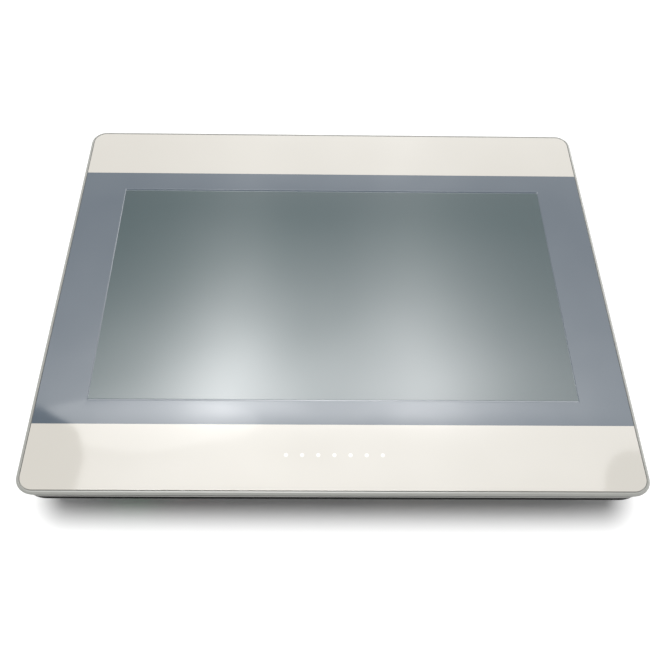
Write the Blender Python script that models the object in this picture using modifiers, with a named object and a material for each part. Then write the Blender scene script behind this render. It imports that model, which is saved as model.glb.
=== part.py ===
"""Touch-screen operator panel for a cabinet door, modelled lying on its back.

Metres. +Z points out of the screen and +Y to the top edge of the display. The origin lies
under the centre of the face, in the plane of the rear cover's flat back.
"""

import math

import bmesh
import bpy
from mathutils import Matrix, Vector

MM = 0.001
GAP = 0.3 * MM              # clearance between neighbouring pieces
WELD = 0.01 * MM            # points closer than this are one point
OVERSHOOT = 1.0 * MM        # how far a cutter passes the face it opens
CORNER_STEPS = 5            # facets in a rounded corner
ROUND_STEPS = 16            # facets round a turned piece
HIDDEN_STEPS = 12           # the same, for fasteners inside the case

# Front: bezel, film, gasket
FACE_W = 271 * MM
FACE_H = 213 * MM
FACE_R = 8 * MM
DEPTH = 36.4 * MM           # back of the cover to the face of the film
RIM_W = 1.5 * MM            # bezel rim outside the film
RIM_Z = DEPTH - 0.1 * MM
RIM_BEVEL = 0.9 * MM
FLANGE_BACK_Z = 33.4 * MM
FILM_T = 0.5 * MM
WINDOW_W = 222 * MM
WINDOW_H = 125 * MM
WINDOW_X = -0.3 * MM
WINDOW_Y = 0.3 * MM
SUNK_W = 222.8 * MM         # the sunk window of the film, a little wider to the right
SUNK_H = 126 * MM
SUNK_AT = (0.1 * MM, 0.2 * MM)
WINDOW_RECESS = 0.25 * MM
BEZEL_OPENING_W = 228 * MM
BEZEL_OPENING_H = 131 * MM
GASKET_INSET = GAP
GASKET_W = 4.0 * MM
GASKET_T = 3.0 * MM
UPSTAND_T = 2.0 * MM
UPSTAND_BACK_Z = 28.0 * MM

# Rear cover: an upper tier that fits the cut-out and a lower tier that holds the board
TIER_W = 258.4 * MM
TIER_H = 200.4 * MM
TIER_R = 6.5 * MM
BACK_W = 236 * MM
BACK_H = 172 * MM
BACK_R = 8 * MM
LEDGE_Z = 16.4 * MM
COVER_TOP_Z = FLANGE_BACK_Z - 2 * GAP
WALL = 2.0 * MM
BACK_BEVEL = 1.8 * MM
VENT_W = 2.2 * MM
VENT_PITCH = 6.0 * MM
BACK_VENTS = 12             # slots on each side of the middle
BACK_VENT_X = 26 * MM
BACK_VENT_Y = (44 * MM, 68 * MM)
TOP_VENTS = 29
TOP_VENT_Z = (4 * MM, 13 * MM)
CLAMP_SLOT_W = 14 * MM
CLAMP_SLOT_Z = (22 * MM, 26 * MM)
CLAMP_SLOT_X = 75 * MM
CLAMP_SLOT_Y = 45 * MM
LABEL_W = 90 * MM
LABEL_H = 46 * MM
LABEL_T = 0.25 * MM
LABEL_RECESS = 0.7 * MM

# Display stack, from the bezel backwards
FOAM_Z = (32.6 * MM, 33.1 * MM)
TOUCH_Z = (30.9 * MM, 32.3 * MM)
LCD_FRAME_Z = (25.2 * MM, 30.6 * MM)
LCD_CELL_Z = (28.5 * MM, 29.8 * MM)
LIGHT_GUIDE_Z = (25.6 * MM, 28.2 * MM)
LCD_TRAY_Z = (24.3 * MM, 24.9 * MM)
BRACKET_Z = (23.0 * MM, 24.0 * MM)
TOUCH_W = 236 * MM
TOUCH_H = 142 * MM
LCD_W = 236 * MM
LCD_H = 143 * MM
LCD_SHEET_T = 0.5 * MM
BRACKET_W = 230 * MM
BRACKET_H = 168 * MM

# Main board and what stands on its rear side
BOARD_Z = (15.6 * MM, 17.2 * MM)
BOARD_W = 208 * MM
BOARD_Y = (-83.2 * MM, 34.8 * MM)
UNDER_BOARD_Z = BOARD_Z[0] - GAP
STANDOFF_R = 2.75 * MM

# Fasteners
SCREW_SHANK_R = 1.2 * MM
SCREW_HEAD_R = 2.8 * MM
SCREW_HEAD_H = 1.6 * MM
SCREW_BORE_R = SCREW_SHANK_R + GAP
COVER_SCREW_AT = (121 * MM, 92 * MM)
COVER_BOSS_R = 3.5 * MM
BRACKET_SCREW_AT = (106 * MM, 79 * MM)
BRACKET_POST_R = 3.0 * MM
BOARD_SCREW_X = 99 * MM
BOARD_SCREW_Y = (-68 * MM, 30 * MM)

# Connector row along the bottom side, facing -Y
SIDE_Y = -BACK_H / 2
POWER_X = -92 * MM
DIP_X = -68 * MM
RESET_X = -55 * MM
USB_CLIENT_X = -40 * MM
USB_HOST_X = -22 * MM
ETHERNET_X = 2 * MM
COM1_X = 38 * MM
COM2_X = 80 * MM
CONNECTOR_MID_Z = 8.8 * MM
JACK_POST_PITCH = 25 * MM
PROUD = 0.6 * MM            # how far the ports stand out of the bottom side
HEADER_W = 18 * MM
HEADER_LOW_Z = 4.3 * MM
HEADER_MID_Z = (HEADER_LOW_Z + UNDER_BOARD_Z) / 2
HEADER_FRONT_Y = SIDE_Y - 2 * MM
HEADER_BACK_Y = SIDE_Y + 10 * MM
HEADER_FLOOR_Y = HEADER_BACK_Y - 2.5 * MM
PLUG_W = 15.6 * MM
PLUG_FRONT_Y = SIDE_Y - 9.8 * MM
PLUG_LOW_Z = 3.7 * MM
PLUG_HIGH_Z = 14.9 * MM
WIRE_HOLE_R = 1.7 * MM
WIRE_HOLE_UP = 2.3 * MM     # above the middle of the header
TERMINAL_SCREW_R = 1.75 * MM
TERMINAL_PITCH = 5.08 * MM
TERMINALS = 3
ETHERNET_LOW_Z = 2.2 * MM
RESET_HALF = 3 * MM
RESET_BUTTON_R = 1.5 * MM
DIP_LOW_Z = 9 * MM
DIP_WAYS = 4
DIP_PITCH = 2.54 * MM
DIP_TRAVEL = 1.4 * MM


# ---- materials ----------------------------------------------------------------------------

def principled(name, colour, roughness, metallic=0.0):
    material = bpy.data.materials.new(name)
    material.use_nodes = True
    material.diffuse_color = (*colour, 1.0)
    shader = material.node_tree.nodes["Principled BSDF"]
    shader.inputs["Base Color"].default_value = (*colour, 1.0)
    shader.inputs["Roughness"].default_value = roughness
    shader.inputs["Metallic"].default_value = metallic
    return material


def make_finishes():
    return {
        "film": principled("film", (0.84, 0.84, 0.79), 0.18),
        "bezel": principled("bezel_plastic", (0.62, 0.62, 0.58), 0.45),
        "rubber": principled("seal_rubber", (0.02, 0.02, 0.02), 0.85),
        "foam": principled("foam_tape", (0.05, 0.05, 0.05), 0.9),
        "glass": principled("touch_glass", (0.16, 0.18, 0.20), 0.25),
        "cell": principled("display_cell", (0.05, 0.06, 0.07), 0.3),
        "acrylic": principled("light_guide_acrylic", (0.85, 0.87, 0.88), 0.15),
        "steel": principled("sheet_steel", (0.62, 0.63, 0.64), 0.35, 1.0),
        "nickel": principled("nickel_plate", (0.74, 0.72, 0.68), 0.25, 1.0),
        "aluminium": principled("heat_sink_aluminium", (0.55, 0.56, 0.58), 0.4, 1.0),
        "board": principled("board_laminate", (0.03, 0.20, 0.09), 0.45),
        "chip": principled("chip_moulding", (0.03, 0.03, 0.035), 0.55),
        "black": principled("connector_moulding", (0.03, 0.03, 0.03), 0.5),
        "terminal": principled("terminal_moulding", (0.05, 0.36, 0.14), 0.4),
        "cover": principled("cover_plastic", (0.32, 0.33, 0.33), 0.55),
        "label": principled("label_foil", (0.80, 0.80, 0.78), 0.4),
        "polyimide": principled("flex_polyimide", (0.55, 0.26, 0.06), 0.35),
        "ribbon": principled("ribbon_cable", (0.82, 0.82, 0.80), 0.4),
        "white": principled("slider_white", (0.85, 0.85, 0.82), 0.45),
        "red": principled("dip_moulding", (0.55, 0.04, 0.03), 0.45),
    }


# ---- scene and shape helpers --------------------------------------------------------------

def clear_scene():
    for obj in list(bpy.data.objects):
        bpy.data.objects.remove(obj, do_unlink=True)


def new_collection(name):
    collection = bpy.data.collections.new(name)
    bpy.context.scene.collection.children.link(collection)
    return collection


clear_scene()
PARTS = new_collection("hmi_touch_panel")
CUTTERS = new_collection("cutters")
FINISH = make_finishes()


def part(name, mesh, finish, place=(0, 0, 0), turn=None):
    """A named piece of the panel."""
    mesh.materials.clear()
    mesh.materials.append(FINISH[finish])
    obj = bpy.data.objects.new(name, mesh)
    obj.location = place
    if turn:
        obj.rotation_euler = turn
    PARTS.objects.link(obj)
    return obj


def tool(name, mesh, place=(0, 0, 0), turn=None):
    """A hidden shape that cuts or joins a part."""
    obj = bpy.data.objects.new(name, mesh)
    obj.location = place
    if turn:
        obj.rotation_euler = turn
    obj.display_type = "WIRE"
    obj.hide_render = True
    CUTTERS.objects.link(obj)
    return obj


def combine(target, other, operation):
    modifier = target.modifiers.new(other.name, "BOOLEAN")
    modifier.operation = operation
    modifier.solver = "EXACT"
    modifier.object = other


def cut(target, name, mesh, place=(0, 0, 0), turn=None):
    combine(target, tool(name, mesh, place, turn), "DIFFERENCE")


def join(target, name, mesh, place=(0, 0, 0), turn=None):
    combine(target, tool(name, mesh, place, turn), "UNION")


def finished_mesh(obj):
    """The evaluated mesh of obj, which is then removed with its tools."""
    depsgraph = bpy.context.evaluated_depsgraph_get()
    mesh = bpy.data.meshes.new_from_object(obj.evaluated_get(depsgraph))
    for modifier in obj.modifiers:
        if modifier.type == "BOOLEAN":
            bpy.data.objects.remove(modifier.object, do_unlink=True)
    bpy.data.objects.remove(obj, do_unlink=True)
    return mesh


def shade_round(mesh):
    mesh.shade_smooth()
    mesh.set_sharp_from_angle(angle=math.radians(35))
    return mesh


def blocks(*spans):
    """Boxes in one mesh, each given by its low and high corner."""
    bm = bmesh.new()
    for low, high in spans:
        size = Vector(high) - Vector(low)
        centre = (Vector(high) + Vector(low)) / 2
        matrix = Matrix.Translation(centre) @ Matrix.Diagonal((*size, 1))
        bmesh.ops.create_cube(bm, size=1.0, matrix=matrix)
    mesh = bpy.data.meshes.new("blocks")
    bm.to_mesh(mesh)
    bm.free()
    return mesh


def rods(radius, length, places=((0, 0, 0),), facets=ROUND_STEPS):
    """Upright cylinders in one mesh, each centred on its place."""
    bm = bmesh.new()
    for place in places:
        bmesh.ops.create_cone(
            bm, cap_ends=True, segments=facets, radius1=radius, radius2=radius, depth=length,
            matrix=Matrix.Translation(Vector(place)),
        )
    mesh = bpy.data.meshes.new("rods")
    bm.to_mesh(mesh)
    bm.free()
    return shade_round(mesh)


def turned(profile, facets=ROUND_STEPS):
    """A mesh turned about Z from (radius, height) points that run from top to bottom."""
    mesh = bpy.data.meshes.new("profile")
    points = [(radius, 0, height) for radius, height in profile]
    mesh.from_pydata(points, [(i, i + 1) for i in range(len(points) - 1)], [])
    obj = bpy.data.objects.new("profile", mesh)
    CUTTERS.objects.link(obj)
    screw = obj.modifiers.new("turn", "SCREW")
    screw.steps = facets
    screw.render_steps = facets
    screw.use_merge_vertices = True
    screw.merge_threshold = WELD
    return shade_round(finished_mesh(obj))


def rounded_rectangle(width, height, radius, at=(0, 0)):
    points = []
    for quarter, (side_x, side_y) in enumerate(((1, 1), (-1, 1), (-1, -1), (1, -1))):
        centre_x = at[0] + side_x * (width / 2 - radius)
        centre_y = at[1] + side_y * (height / 2 - radius)
        for step in range(CORNER_STEPS + 1):
            angle = math.radians(90) * (quarter + step / CORNER_STEPS)
            points.append((centre_x + radius * math.cos(angle), centre_y + radius * math.sin(angle)))
    return points


def rectangle(width, height, at=(0, 0)):
    return [
        (at[0] + side_x * width / 2, at[1] + side_y * height / 2)
        for side_x, side_y in ((1, 1), (-1, 1), (-1, -1), (1, -1))
    ]


def circle(radius, at=(0, 0), facets=ROUND_STEPS):
    turns = [math.tau * step / facets for step in range(facets)]
    return [(at[0] + radius * math.cos(turn), at[1] + radius * math.sin(turn)) for turn in turns]


def plate(outlines, low, high):
    """A flat plate from height low to high; outlines inside the first are its holes."""
    curve = bpy.data.curves.new("outline", "CURVE")
    curve.dimensions = "2D"
    curve.fill_mode = "BOTH"
    curve.extrude = (high - low) / 2
    for points in outlines:
        spline = curve.splines.new("POLY")
        spline.points.add(len(points) - 1)
        for point, (x, y) in zip(spline.points, points):
            point.co = (x, y, 0, 1)
        spline.use_cyclic_u = True
    obj = bpy.data.objects.new("outline", curve)
    CUTTERS.objects.link(obj)
    mesh = finished_mesh(obj)
    bpy.data.curves.remove(curve)
    bm = bmesh.new()
    bm.from_mesh(mesh)
    bmesh.ops.remove_doubles(bm, verts=bm.verts, dist=WELD)
    bmesh.ops.dissolve_limit(bm, angle_limit=math.radians(1), verts=bm.verts, edges=bm.edges)
    bmesh.ops.translate(bm, verts=bm.verts, vec=(0, 0, (low + high) / 2))
    bm.to_mesh(mesh)
    bm.free()
    return mesh


def round_rim(mesh, height, width, segments=2):
    """Round the sharp edges that lie at one height."""
    bm = bmesh.new()
    bm.from_mesh(mesh)
    edges = [
        edge for edge in bm.edges
        if all(abs(vert.co.z - height) < WELD for vert in edge.verts)
        and edge.calc_face_angle(0) > math.radians(40)
    ]
    bmesh.ops.bevel(bm, geom=edges, offset=width, segments=segments, profile=0.5, affect="EDGES")
    bm.to_mesh(mesh)
    bm.free()
    return mesh


def strip(path, width, thickness, centre_x):
    """A flat ribbon, width along X, whose middle follows (y, z) points."""
    bm = bmesh.new()
    rows = [
        [bm.verts.new((centre_x + side * width / 2, y, z)) for side in (-1, 1)]
        for y, z in path
    ]
    for first, second in zip(rows, rows[1:]):
        bm.faces.new((first[0], first[1], second[1], second[0]))
    mesh = bpy.data.meshes.new("ribbon")
    bm.to_mesh(mesh)
    bm.free()
    obj = bpy.data.objects.new("ribbon", mesh)
    CUTTERS.objects.link(obj)
    solidify = obj.modifiers.new("thickness", "SOLIDIFY")
    solidify.thickness = thickness
    solidify.offset = 0
    return finished_mesh(obj)


def corners(at):
    return [(side_x * at[0], side_y * at[1]) for side_y in (-1, 1) for side_x in (-1, 1)]



FACING_DOWN = (math.radians(90), 0, 0)


# ---- front -------------------------------------------------------------------------------

def make_overlay_film():
    inset = 2 * (RIM_W + GAP)
    outline = rounded_rectangle(FACE_W - inset, FACE_H - inset, FACE_R - inset / 2)
    sheet = plate([outline], DEPTH - FILM_T, DEPTH)
    film = part("overlay_film", sheet, "film")
    window = plate(
        [rectangle(SUNK_W, SUNK_H, SUNK_AT)], DEPTH - WINDOW_RECESS, DEPTH + OVERSHOOT
    )
    cut(film, "film_window", window)


def make_front_bezel():
    body = plate([rounded_rectangle(FACE_W, FACE_H, FACE_R)], FLANGE_BACK_Z, RIM_Z)
    bezel = part("front_bezel", shade_round(round_rim(body, RIM_Z, RIM_BEVEL, 3)), "bezel")
    recess = plate(
        [rounded_rectangle(FACE_W - 2 * RIM_W, FACE_H - 2 * RIM_W, FACE_R - RIM_W)],
        DEPTH - FILM_T - GAP, DEPTH + OVERSHOOT,
    )
    cut(bezel, "film_recess", recess)
    upstand_w = TIER_W - 2 * WALL - 5 * GAP
    upstand_h = TIER_H - 2 * WALL - 5 * GAP
    radius = TIER_R - WALL
    upstand = plate(
        [
            rounded_rectangle(upstand_w, upstand_h, radius),
            rounded_rectangle(upstand_w - 2 * UPSTAND_T, upstand_h - 2 * UPSTAND_T, radius - UPSTAND_T),
        ],
        UPSTAND_BACK_Z, FLANGE_BACK_Z + OVERSHOOT,
    )
    join(bezel, "upstand", upstand)
    add_bosses(bezel, "cover_boss", COVER_SCREW_AT, COVER_BOSS_R, LEDGE_Z + WALL + 2 * GAP)
    add_bosses(bezel, "bracket_post", BRACKET_SCREW_AT, BRACKET_POST_R, BRACKET_Z[1] + GAP)
    opening = plate(
        [rectangle(BEZEL_OPENING_W, BEZEL_OPENING_H, (WINDOW_X, WINDOW_Y))],
        FLANGE_BACK_Z - OVERSHOOT, DEPTH,
    )
    cut(bezel, "display_opening", opening)


def add_bosses(bezel, name, at, radius, low):
    """Four screw posts with blind bores behind the bezel's flange."""
    top = FLANGE_BACK_Z + OVERSHOOT
    places = [(x, y, (low + top) / 2) for x, y in corners(at)]
    join(bezel, name, rods(radius, top - low, places))
    bore_top = FLANGE_BACK_Z - OVERSHOOT
    bore_low = low - OVERSHOOT
    bores = [(x, y, (bore_low + bore_top) / 2) for x, y in corners(at)]
    cut(bezel, name + "_bore", rods(SCREW_BORE_R, bore_top - bore_low, bores))


def make_panel_gasket():
    outer_w = FACE_W - 2 * GASKET_INSET
    outer_h = FACE_H - 2 * GASKET_INSET
    high = FLANGE_BACK_Z - GAP
    outlines = [
        rounded_rectangle(outer_w, outer_h, FACE_R - GASKET_INSET),
        rounded_rectangle(outer_w - 2 * GASKET_W, outer_h - 2 * GASKET_W, FACE_R - GASKET_INSET - GASKET_W),
    ]
    part("panel_gasket", plate(outlines, high - GASKET_T, high), "rubber")


# ---- display ------------------------------------------------------------------------------

def make_touch_screen():
    at = (WINDOW_X, WINDOW_Y)
    foam = [
        rectangle(TOUCH_W - 1 * MM, TOUCH_H - 1 * MM, at),
        rectangle(BEZEL_OPENING_W, BEZEL_OPENING_H, at),
    ]
    part("touch_foam_frame", plate(foam, *FOAM_Z), "foam")
    part("touch_panel", plate([rectangle(TOUCH_W, TOUCH_H, at)], *TOUCH_Z), "glass")
    tail = [(-71.5, 31.6), (-73.0, 31.2), (-73.8, 30.0), (-74.0, 20.4), (-74.7, 18.6), (-77.0, 17.8)]
    path = [(y * MM, z * MM) for y, z in tail]
    part("touch_tail", strip(path, 18 * MM, 0.25 * MM, 30 * MM), "polyimide")


def make_lcd_module():
    at = (WINDOW_X, WINDOW_Y)
    frame = part("lcd_frame", plate([rectangle(LCD_W, LCD_H, at)], *LCD_FRAME_Z), "steel")
    inner = plate(
        [rectangle(LCD_W - 2 * LCD_SHEET_T, LCD_H - 2 * LCD_SHEET_T, at)],
        LCD_FRAME_Z[0] - OVERSHOOT, LCD_FRAME_Z[1] - LCD_SHEET_T,
    )
    cut(frame, "lcd_frame_inside", inner)
    view = plate([rectangle(WINDOW_W + 2 * MM, WINDOW_H + 2 * MM, at)], LCD_FRAME_Z[0], DEPTH)
    cut(frame, "lcd_frame_view", view)
    fit_w = LCD_W - 2 * LCD_SHEET_T - 2 * GAP
    fit_h = LCD_H - 2 * LCD_SHEET_T - 2 * GAP
    part("lcd_cell", plate([rectangle(fit_w, fit_h, at)], *LCD_CELL_Z), "cell")
    part("light_guide", plate([rectangle(fit_w, fit_h, at)], *LIGHT_GUIDE_Z), "acrylic")
    part("lcd_rear_tray", plate([rectangle(LCD_W, LCD_H, at)], *LCD_TRAY_Z), "steel")
    ribbon = [(56, 23.8), (44, 23.6), (38, 21.6), (32, 18.8), (24, 17.8)]
    path = [(y * MM, z * MM) for y, z in ribbon]
    part("lcd_cable", strip(path, 24 * MM, 0.3 * MM, 0), "ribbon")


def make_display_bracket():
    """Sheet plate behind the display, with swaged standoffs for the board."""
    hole_r = SCREW_SHANK_R + 1.5 * GAP
    outlines = [
        rounded_rectangle(BRACKET_W, BRACKET_H, 4 * MM),
        rectangle(40 * MM, 44 * MM, (0, 42 * MM)),
        rectangle(26 * MM, 8 * MM, (30 * MM, -75.5 * MM)),
    ]
    outlines += [circle(hole_r, at, HIDDEN_STEPS) for at in corners(BRACKET_SCREW_AT)]
    bracket = part("display_bracket", plate(outlines, *BRACKET_Z), "steel")
    low = BOARD_Z[1] + GAP
    high = BRACKET_Z[0] + 0.4 * MM
    places = [(x, y, (low + high) / 2) for x, y in board_screw_places()]
    join(bracket, "board_standoff", rods(STANDOFF_R, high - low, places, HIDDEN_STEPS))
    bores = [(x, y, low) for x, y in board_screw_places()]
    cut(bracket, "board_standoff_bore", rods(SCREW_BORE_R, 9 * MM, bores, HIDDEN_STEPS))


# ---- main board ---------------------------------------------------------------------------

def board_screw_places():
    return [(side * BOARD_SCREW_X, y) for y in BOARD_SCREW_Y for side in (-1, 1)]


def make_main_board():
    centre_y = sum(BOARD_Y) / 2
    outlines = [rounded_rectangle(BOARD_W, BOARD_Y[1] - BOARD_Y[0], 2 * MM, (0, centre_y))]
    outlines += [circle(SCREW_SHANK_R + 1.5 * GAP, at, HIDDEN_STEPS) for at in board_screw_places()]
    part("main_board", plate(outlines, *BOARD_Z), "board")


def make_chip(name, at, size):
    """A moulded package hanging under the board."""
    low = (at[0] - size[0] / 2, at[1] - size[1] / 2, UNDER_BOARD_Z - size[2])
    high = (at[0] + size[0] / 2, at[1] + size[1] / 2, UNDER_BOARD_Z)
    part(name, blocks((low, high)), "chip")


def make_processor_and_sink():
    at = (10 * MM, -22 * MM)
    chip_h = 1.4 * MM
    make_chip("processor", at, (17 * MM, 17 * MM, chip_h))
    half = 19 * MM
    top = UNDER_BOARD_Z - chip_h - GAP
    low = top - 7.6 * MM
    sink = part(
        "heat_sink",
        blocks(((at[0] - half, at[1] - half, low), (at[0] + half, at[1] + half, top))),
        "aluminium",
    )
    pitch = 4.6 * MM
    groove_w = 3.2 * MM
    groove_h = 5.6 * MM
    count = 8
    reach = half + OVERSHOOT
    grooves = []
    for step in range(count):
        x = at[0] + (step - (count - 1) / 2) * pitch
        near = (x - groove_w / 2, at[1] - reach, low - OVERSHOOT)
        far = (x + groove_w / 2, at[1] + reach, low + groove_h)
        grooves.append((near, far))
    cut(sink, "heat_sink_grooves", blocks(*grooves))


def make_coin_cell():
    """A holder open towards the cover, with a finger notch, and the cell in it."""
    x, y = 66 * MM, 4 * MM
    half = 12 * MM
    low = UNDER_BOARD_Z - 5.4 * MM
    outline = ((x - half, y - half, low), (x + half, y + half, UNDER_BOARD_Z))
    holder = part("coin_cell_holder", blocks(outline), "black")
    cell_r = 10 * MM
    cell_low = low + 0.6 * MM
    cell_high = cell_low + 3.2 * MM
    floor = cell_high + 1.5 * GAP
    cut(holder, "coin_cell_pocket", plate([circle(cell_r + GAP, (x, y))], low - OVERSHOOT, floor))
    notch = 4 * MM
    notch_span = ((x - notch, y - half - OVERSHOOT, low - OVERSHOOT), (x + notch, y, floor))
    cut(holder, "coin_cell_notch", blocks(notch_span))
    part("coin_cell", plate([circle(cell_r, (x, y))], cell_low, cell_high), "nickel")


def make_power_stage():
    """Fuse, choke and smoothing capacitor of the 24 V supply."""
    cap_r = 2.6 * MM
    tube_r = cap_r - 0.4 * MM
    half = 10 * MM
    cap_end = 5.5 * MM
    fuse = [
        (0, half), (cap_r, half), (cap_r, cap_end), (tube_r, cap_end),
        (tube_r, -cap_end), (cap_r, -cap_end), (cap_r, -half), (0, -half),
    ]
    place = (-92 * MM, -56 * MM, UNDER_BOARD_Z - cap_r)
    part("fuse", turned(fuse), "glass", place, (0, math.radians(90), 0))
    make_chip("power_inductor", (-70 * MM, -48 * MM), (12 * MM, 12 * MM, 6 * MM))
    can_r, can_h, chamfer = 5 * MM, 10 * MM, 0.5 * MM
    can = [
        (0, 0), (can_r - chamfer, 0), (can_r, -chamfer), (can_r, chamfer - can_h),
        (can_r - chamfer, -can_h), (0, -can_h),
    ]
    part("input_capacitor", turned(can), "aluminium", (-90 * MM, -38 * MM, UNDER_BOARD_Z))


def make_buzzer():
    shell_r, shell_h, hole_r, chamfer = 6 * MM, 7.6 * MM, 1 * MM, 0.6 * MM
    shell = [
        (0, 0), (shell_r, 0), (shell_r, chamfer - shell_h), (shell_r - chamfer, -shell_h),
        (hole_r, -shell_h), (hole_r, -0.8 * shell_h), (0, -0.8 * shell_h),
    ]
    part("buzzer", turned(shell), "black", (-60 * MM, 12 * MM, UNDER_BOARD_Z))


# ---- connector row -------------------------------------------------------------------------

def make_power_header():
    """Socket in the bottom side: a box open to the front with three pins."""
    half_w = HEADER_W / 2
    front, back = HEADER_FRONT_Y, HEADER_BACK_Y
    shell = ((POWER_X - half_w, front, HEADER_LOW_Z), (POWER_X + half_w, back, UNDER_BOARD_Z))
    header = part("power_header", blocks(shell), "terminal")
    wall = 1.2 * MM
    inner = half_w - 0.9 * MM
    near = (POWER_X - inner, front - OVERSHOOT, HEADER_LOW_Z + wall)
    far = (POWER_X + inner, HEADER_FLOOR_Y, UNDER_BOARD_Z - wall)
    cut(header, "power_header_cavity", blocks((near, far)))
    pin = 0.5 * MM
    z = HEADER_MID_Z
    pins = [
        ((x - pin, front + OVERSHOOT, z - pin), (x + pin, HEADER_FLOOR_Y + OVERSHOOT, z + pin))
        for x in terminal_places()
    ]
    join(header, "power_header_pins", blocks(*pins))


def terminal_places():
    return [POWER_X + (way - 1) * TERMINAL_PITCH for way in range(TERMINALS)]


def make_power_plug():
    """Pull-off screw terminal: a nose in the header and a block with wire and screw holes."""
    half_w = PLUG_W / 2
    step = HEADER_FRONT_Y - GAP
    tip = HEADER_FLOOR_Y - GAP
    z = HEADER_MID_Z
    block = ((-half_w, PLUG_FRONT_Y - step, PLUG_LOW_Z - z), (half_w, 0, PLUG_HIGH_Z - z))
    plug = part("power_plug", blocks(block), "terminal", (POWER_X, step, z))
    nose_half = 4 * MM
    nose = blocks(((-half_w, -OVERSHOOT, -nose_half), (half_w, tip - step, nose_half)))
    join(plug, "power_plug_nose", nose, plug.location)
    socket = 0.9 * MM
    sockets = [
        ((x - socket, HEADER_FRONT_Y, z - socket), (x + socket, tip + OVERSHOOT, z + socket))
        for x in terminal_places()
    ]
    cut(plug, "power_plug_sockets", blocks(*sockets))
    wires = [(x - POWER_X, z + WIRE_HOLE_UP, 0) for x in terminal_places()]
    bores = rods(WIRE_HOLE_R, 12 * MM, wires)
    cut(plug, "power_plug_wire_holes", bores, (POWER_X, PLUG_FRONT_Y, 0), FACING_DOWN)
    screw_y = (PLUG_FRONT_Y + step) / 2
    wells = [(x, screw_y, PLUG_LOW_Z) for x in terminal_places()]
    cut(plug, "power_plug_screw_wells", rods(TERMINAL_SCREW_R + 1.3 * GAP, 9 * MM, wells))
    make_terminal_screws(plug, screw_y)


def make_terminal_screws(plug, screw_y):
    """Slotted screws in the plug's wells, heads down, each with its origin on its axis."""
    head_r, head_h, shank_r, sunk = TERMINAL_SCREW_R, 1.5 * MM, 1.2 * MM, 0.5 * MM
    head = [
        (0, head_h + 2 * MM), (shank_r, head_h + 2 * MM), (shank_r, head_h), (head_r, head_h),
        (head_r, 0.2 * MM), (head_r - 0.2 * MM, 0), (0, 0),
    ]
    master = part("terminal_screw", turned(head), "nickel")
    slot_half, slot_deep = 0.35 * MM, 0.7 * MM
    reach = head_r + OVERSHOOT
    slot = blocks(((-reach, -slot_half, -OVERSHOOT), (reach, slot_half, slot_deep)))
    cut(master, "terminal_screw_slot", slot)
    mesh = finished_mesh(master)
    for number, x in enumerate(terminal_places(), 1):
        screw = part(f"terminal_screw_{number}", mesh, "nickel")
        screw.parent = plug
        screw.location = (x - POWER_X, screw_y - plug.location.y, PLUG_LOW_Z + sunk - plug.location.z)


def make_dip_switch():
    """Mode switch: sliders that stand out of slots in the body's front."""
    half_w = 6.2 * MM
    front = SIDE_Y - PROUD
    shell = ((DIP_X - half_w, front, DIP_LOW_Z), (DIP_X + half_w, front + 7 * MM, UNDER_BOARD_Z))
    body = part("dip_switch_body", blocks(shell), "red")
    slot_half = 0.8 * MM
    slot_low, slot_high = DIP_LOW_Z + 1.4 * MM, UNDER_BOARD_Z - 1.4 * MM
    slot_deep = 3 * MM
    ways = [DIP_X + (way - (DIP_WAYS - 1) / 2) * DIP_PITCH for way in range(DIP_WAYS)]
    slots = [
        ((x - slot_half, front - OVERSHOOT, slot_low), (x + slot_half, front + slot_deep, slot_high))
        for x in ways
    ]
    cut(body, "dip_switch_slots", blocks(*slots))
    half = slot_half - GAP
    height = slot_high - slot_low - DIP_TRAVEL - 2 * GAP
    slider = blocks(((-half, -0.8 * MM, 0), (half, slot_deep - 2 * GAP, height)))
    for number, x in enumerate(ways, 1):
        part(f"dip_slider_{number}", slider, "white", (x, front, slot_low + GAP))


def make_reset_switch():
    """Push switch behind the bottom side; its button passes through a hole there."""
    half = RESET_HALF
    z = UNDER_BOARD_Z - half
    front = SIDE_Y + WALL + GAP
    shell = ((RESET_X - half, front, z - half), (RESET_X + half, front + 4 * MM, z + half))
    body = part("reset_switch_body", blocks(shell), "black")
    bore = rods(RESET_BUTTON_R + GAP, 4 * MM)
    cut(body, "reset_switch_bore", bore, (RESET_X, front, z), FACING_DOWN)
    inner, outer, chamfer = 1 * MM, 4 * MM, 0.3 * MM
    profile = [
        (0, outer), (RESET_BUTTON_R - chamfer, outer), (RESET_BUTTON_R, outer - chamfer),
        (RESET_BUTTON_R, -inner), (0, -inner),
    ]
    part("reset_button", turned(profile), "black", (RESET_X, front, z), FACING_DOWN)


def make_usb_port(name, x, size, wall, tongue):
    """Plated shell open to the front, with the contact tongue inside."""
    width, height, length = size
    half = width / 2
    front, back = SIDE_Y - PROUD, SIDE_Y - PROUD + length
    high = UNDER_BOARD_Z
    low = high - height
    shell = part(name, blocks(((x - half, front, low), (x + half, back, high))), "nickel")
    floor = back - 1.2 * MM
    near = (x - half + wall, front - OVERSHOOT, low + wall)
    far = (x + half - wall, floor, high - wall)
    cut(shell, name + "_cavity", blocks((near, far)))
    tongue_half, tongue_t = tongue[0] / 2, tongue[1]
    tongue_z = high - wall - tongue_t - 2 * GAP
    near = (x - tongue_half, front + 1.2 * MM, tongue_z)
    far = (x + tongue_half, floor + 0.6 * MM, tongue_z + tongue_t)
    join(shell, name + "_tongue", blocks((near, far)))


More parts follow.
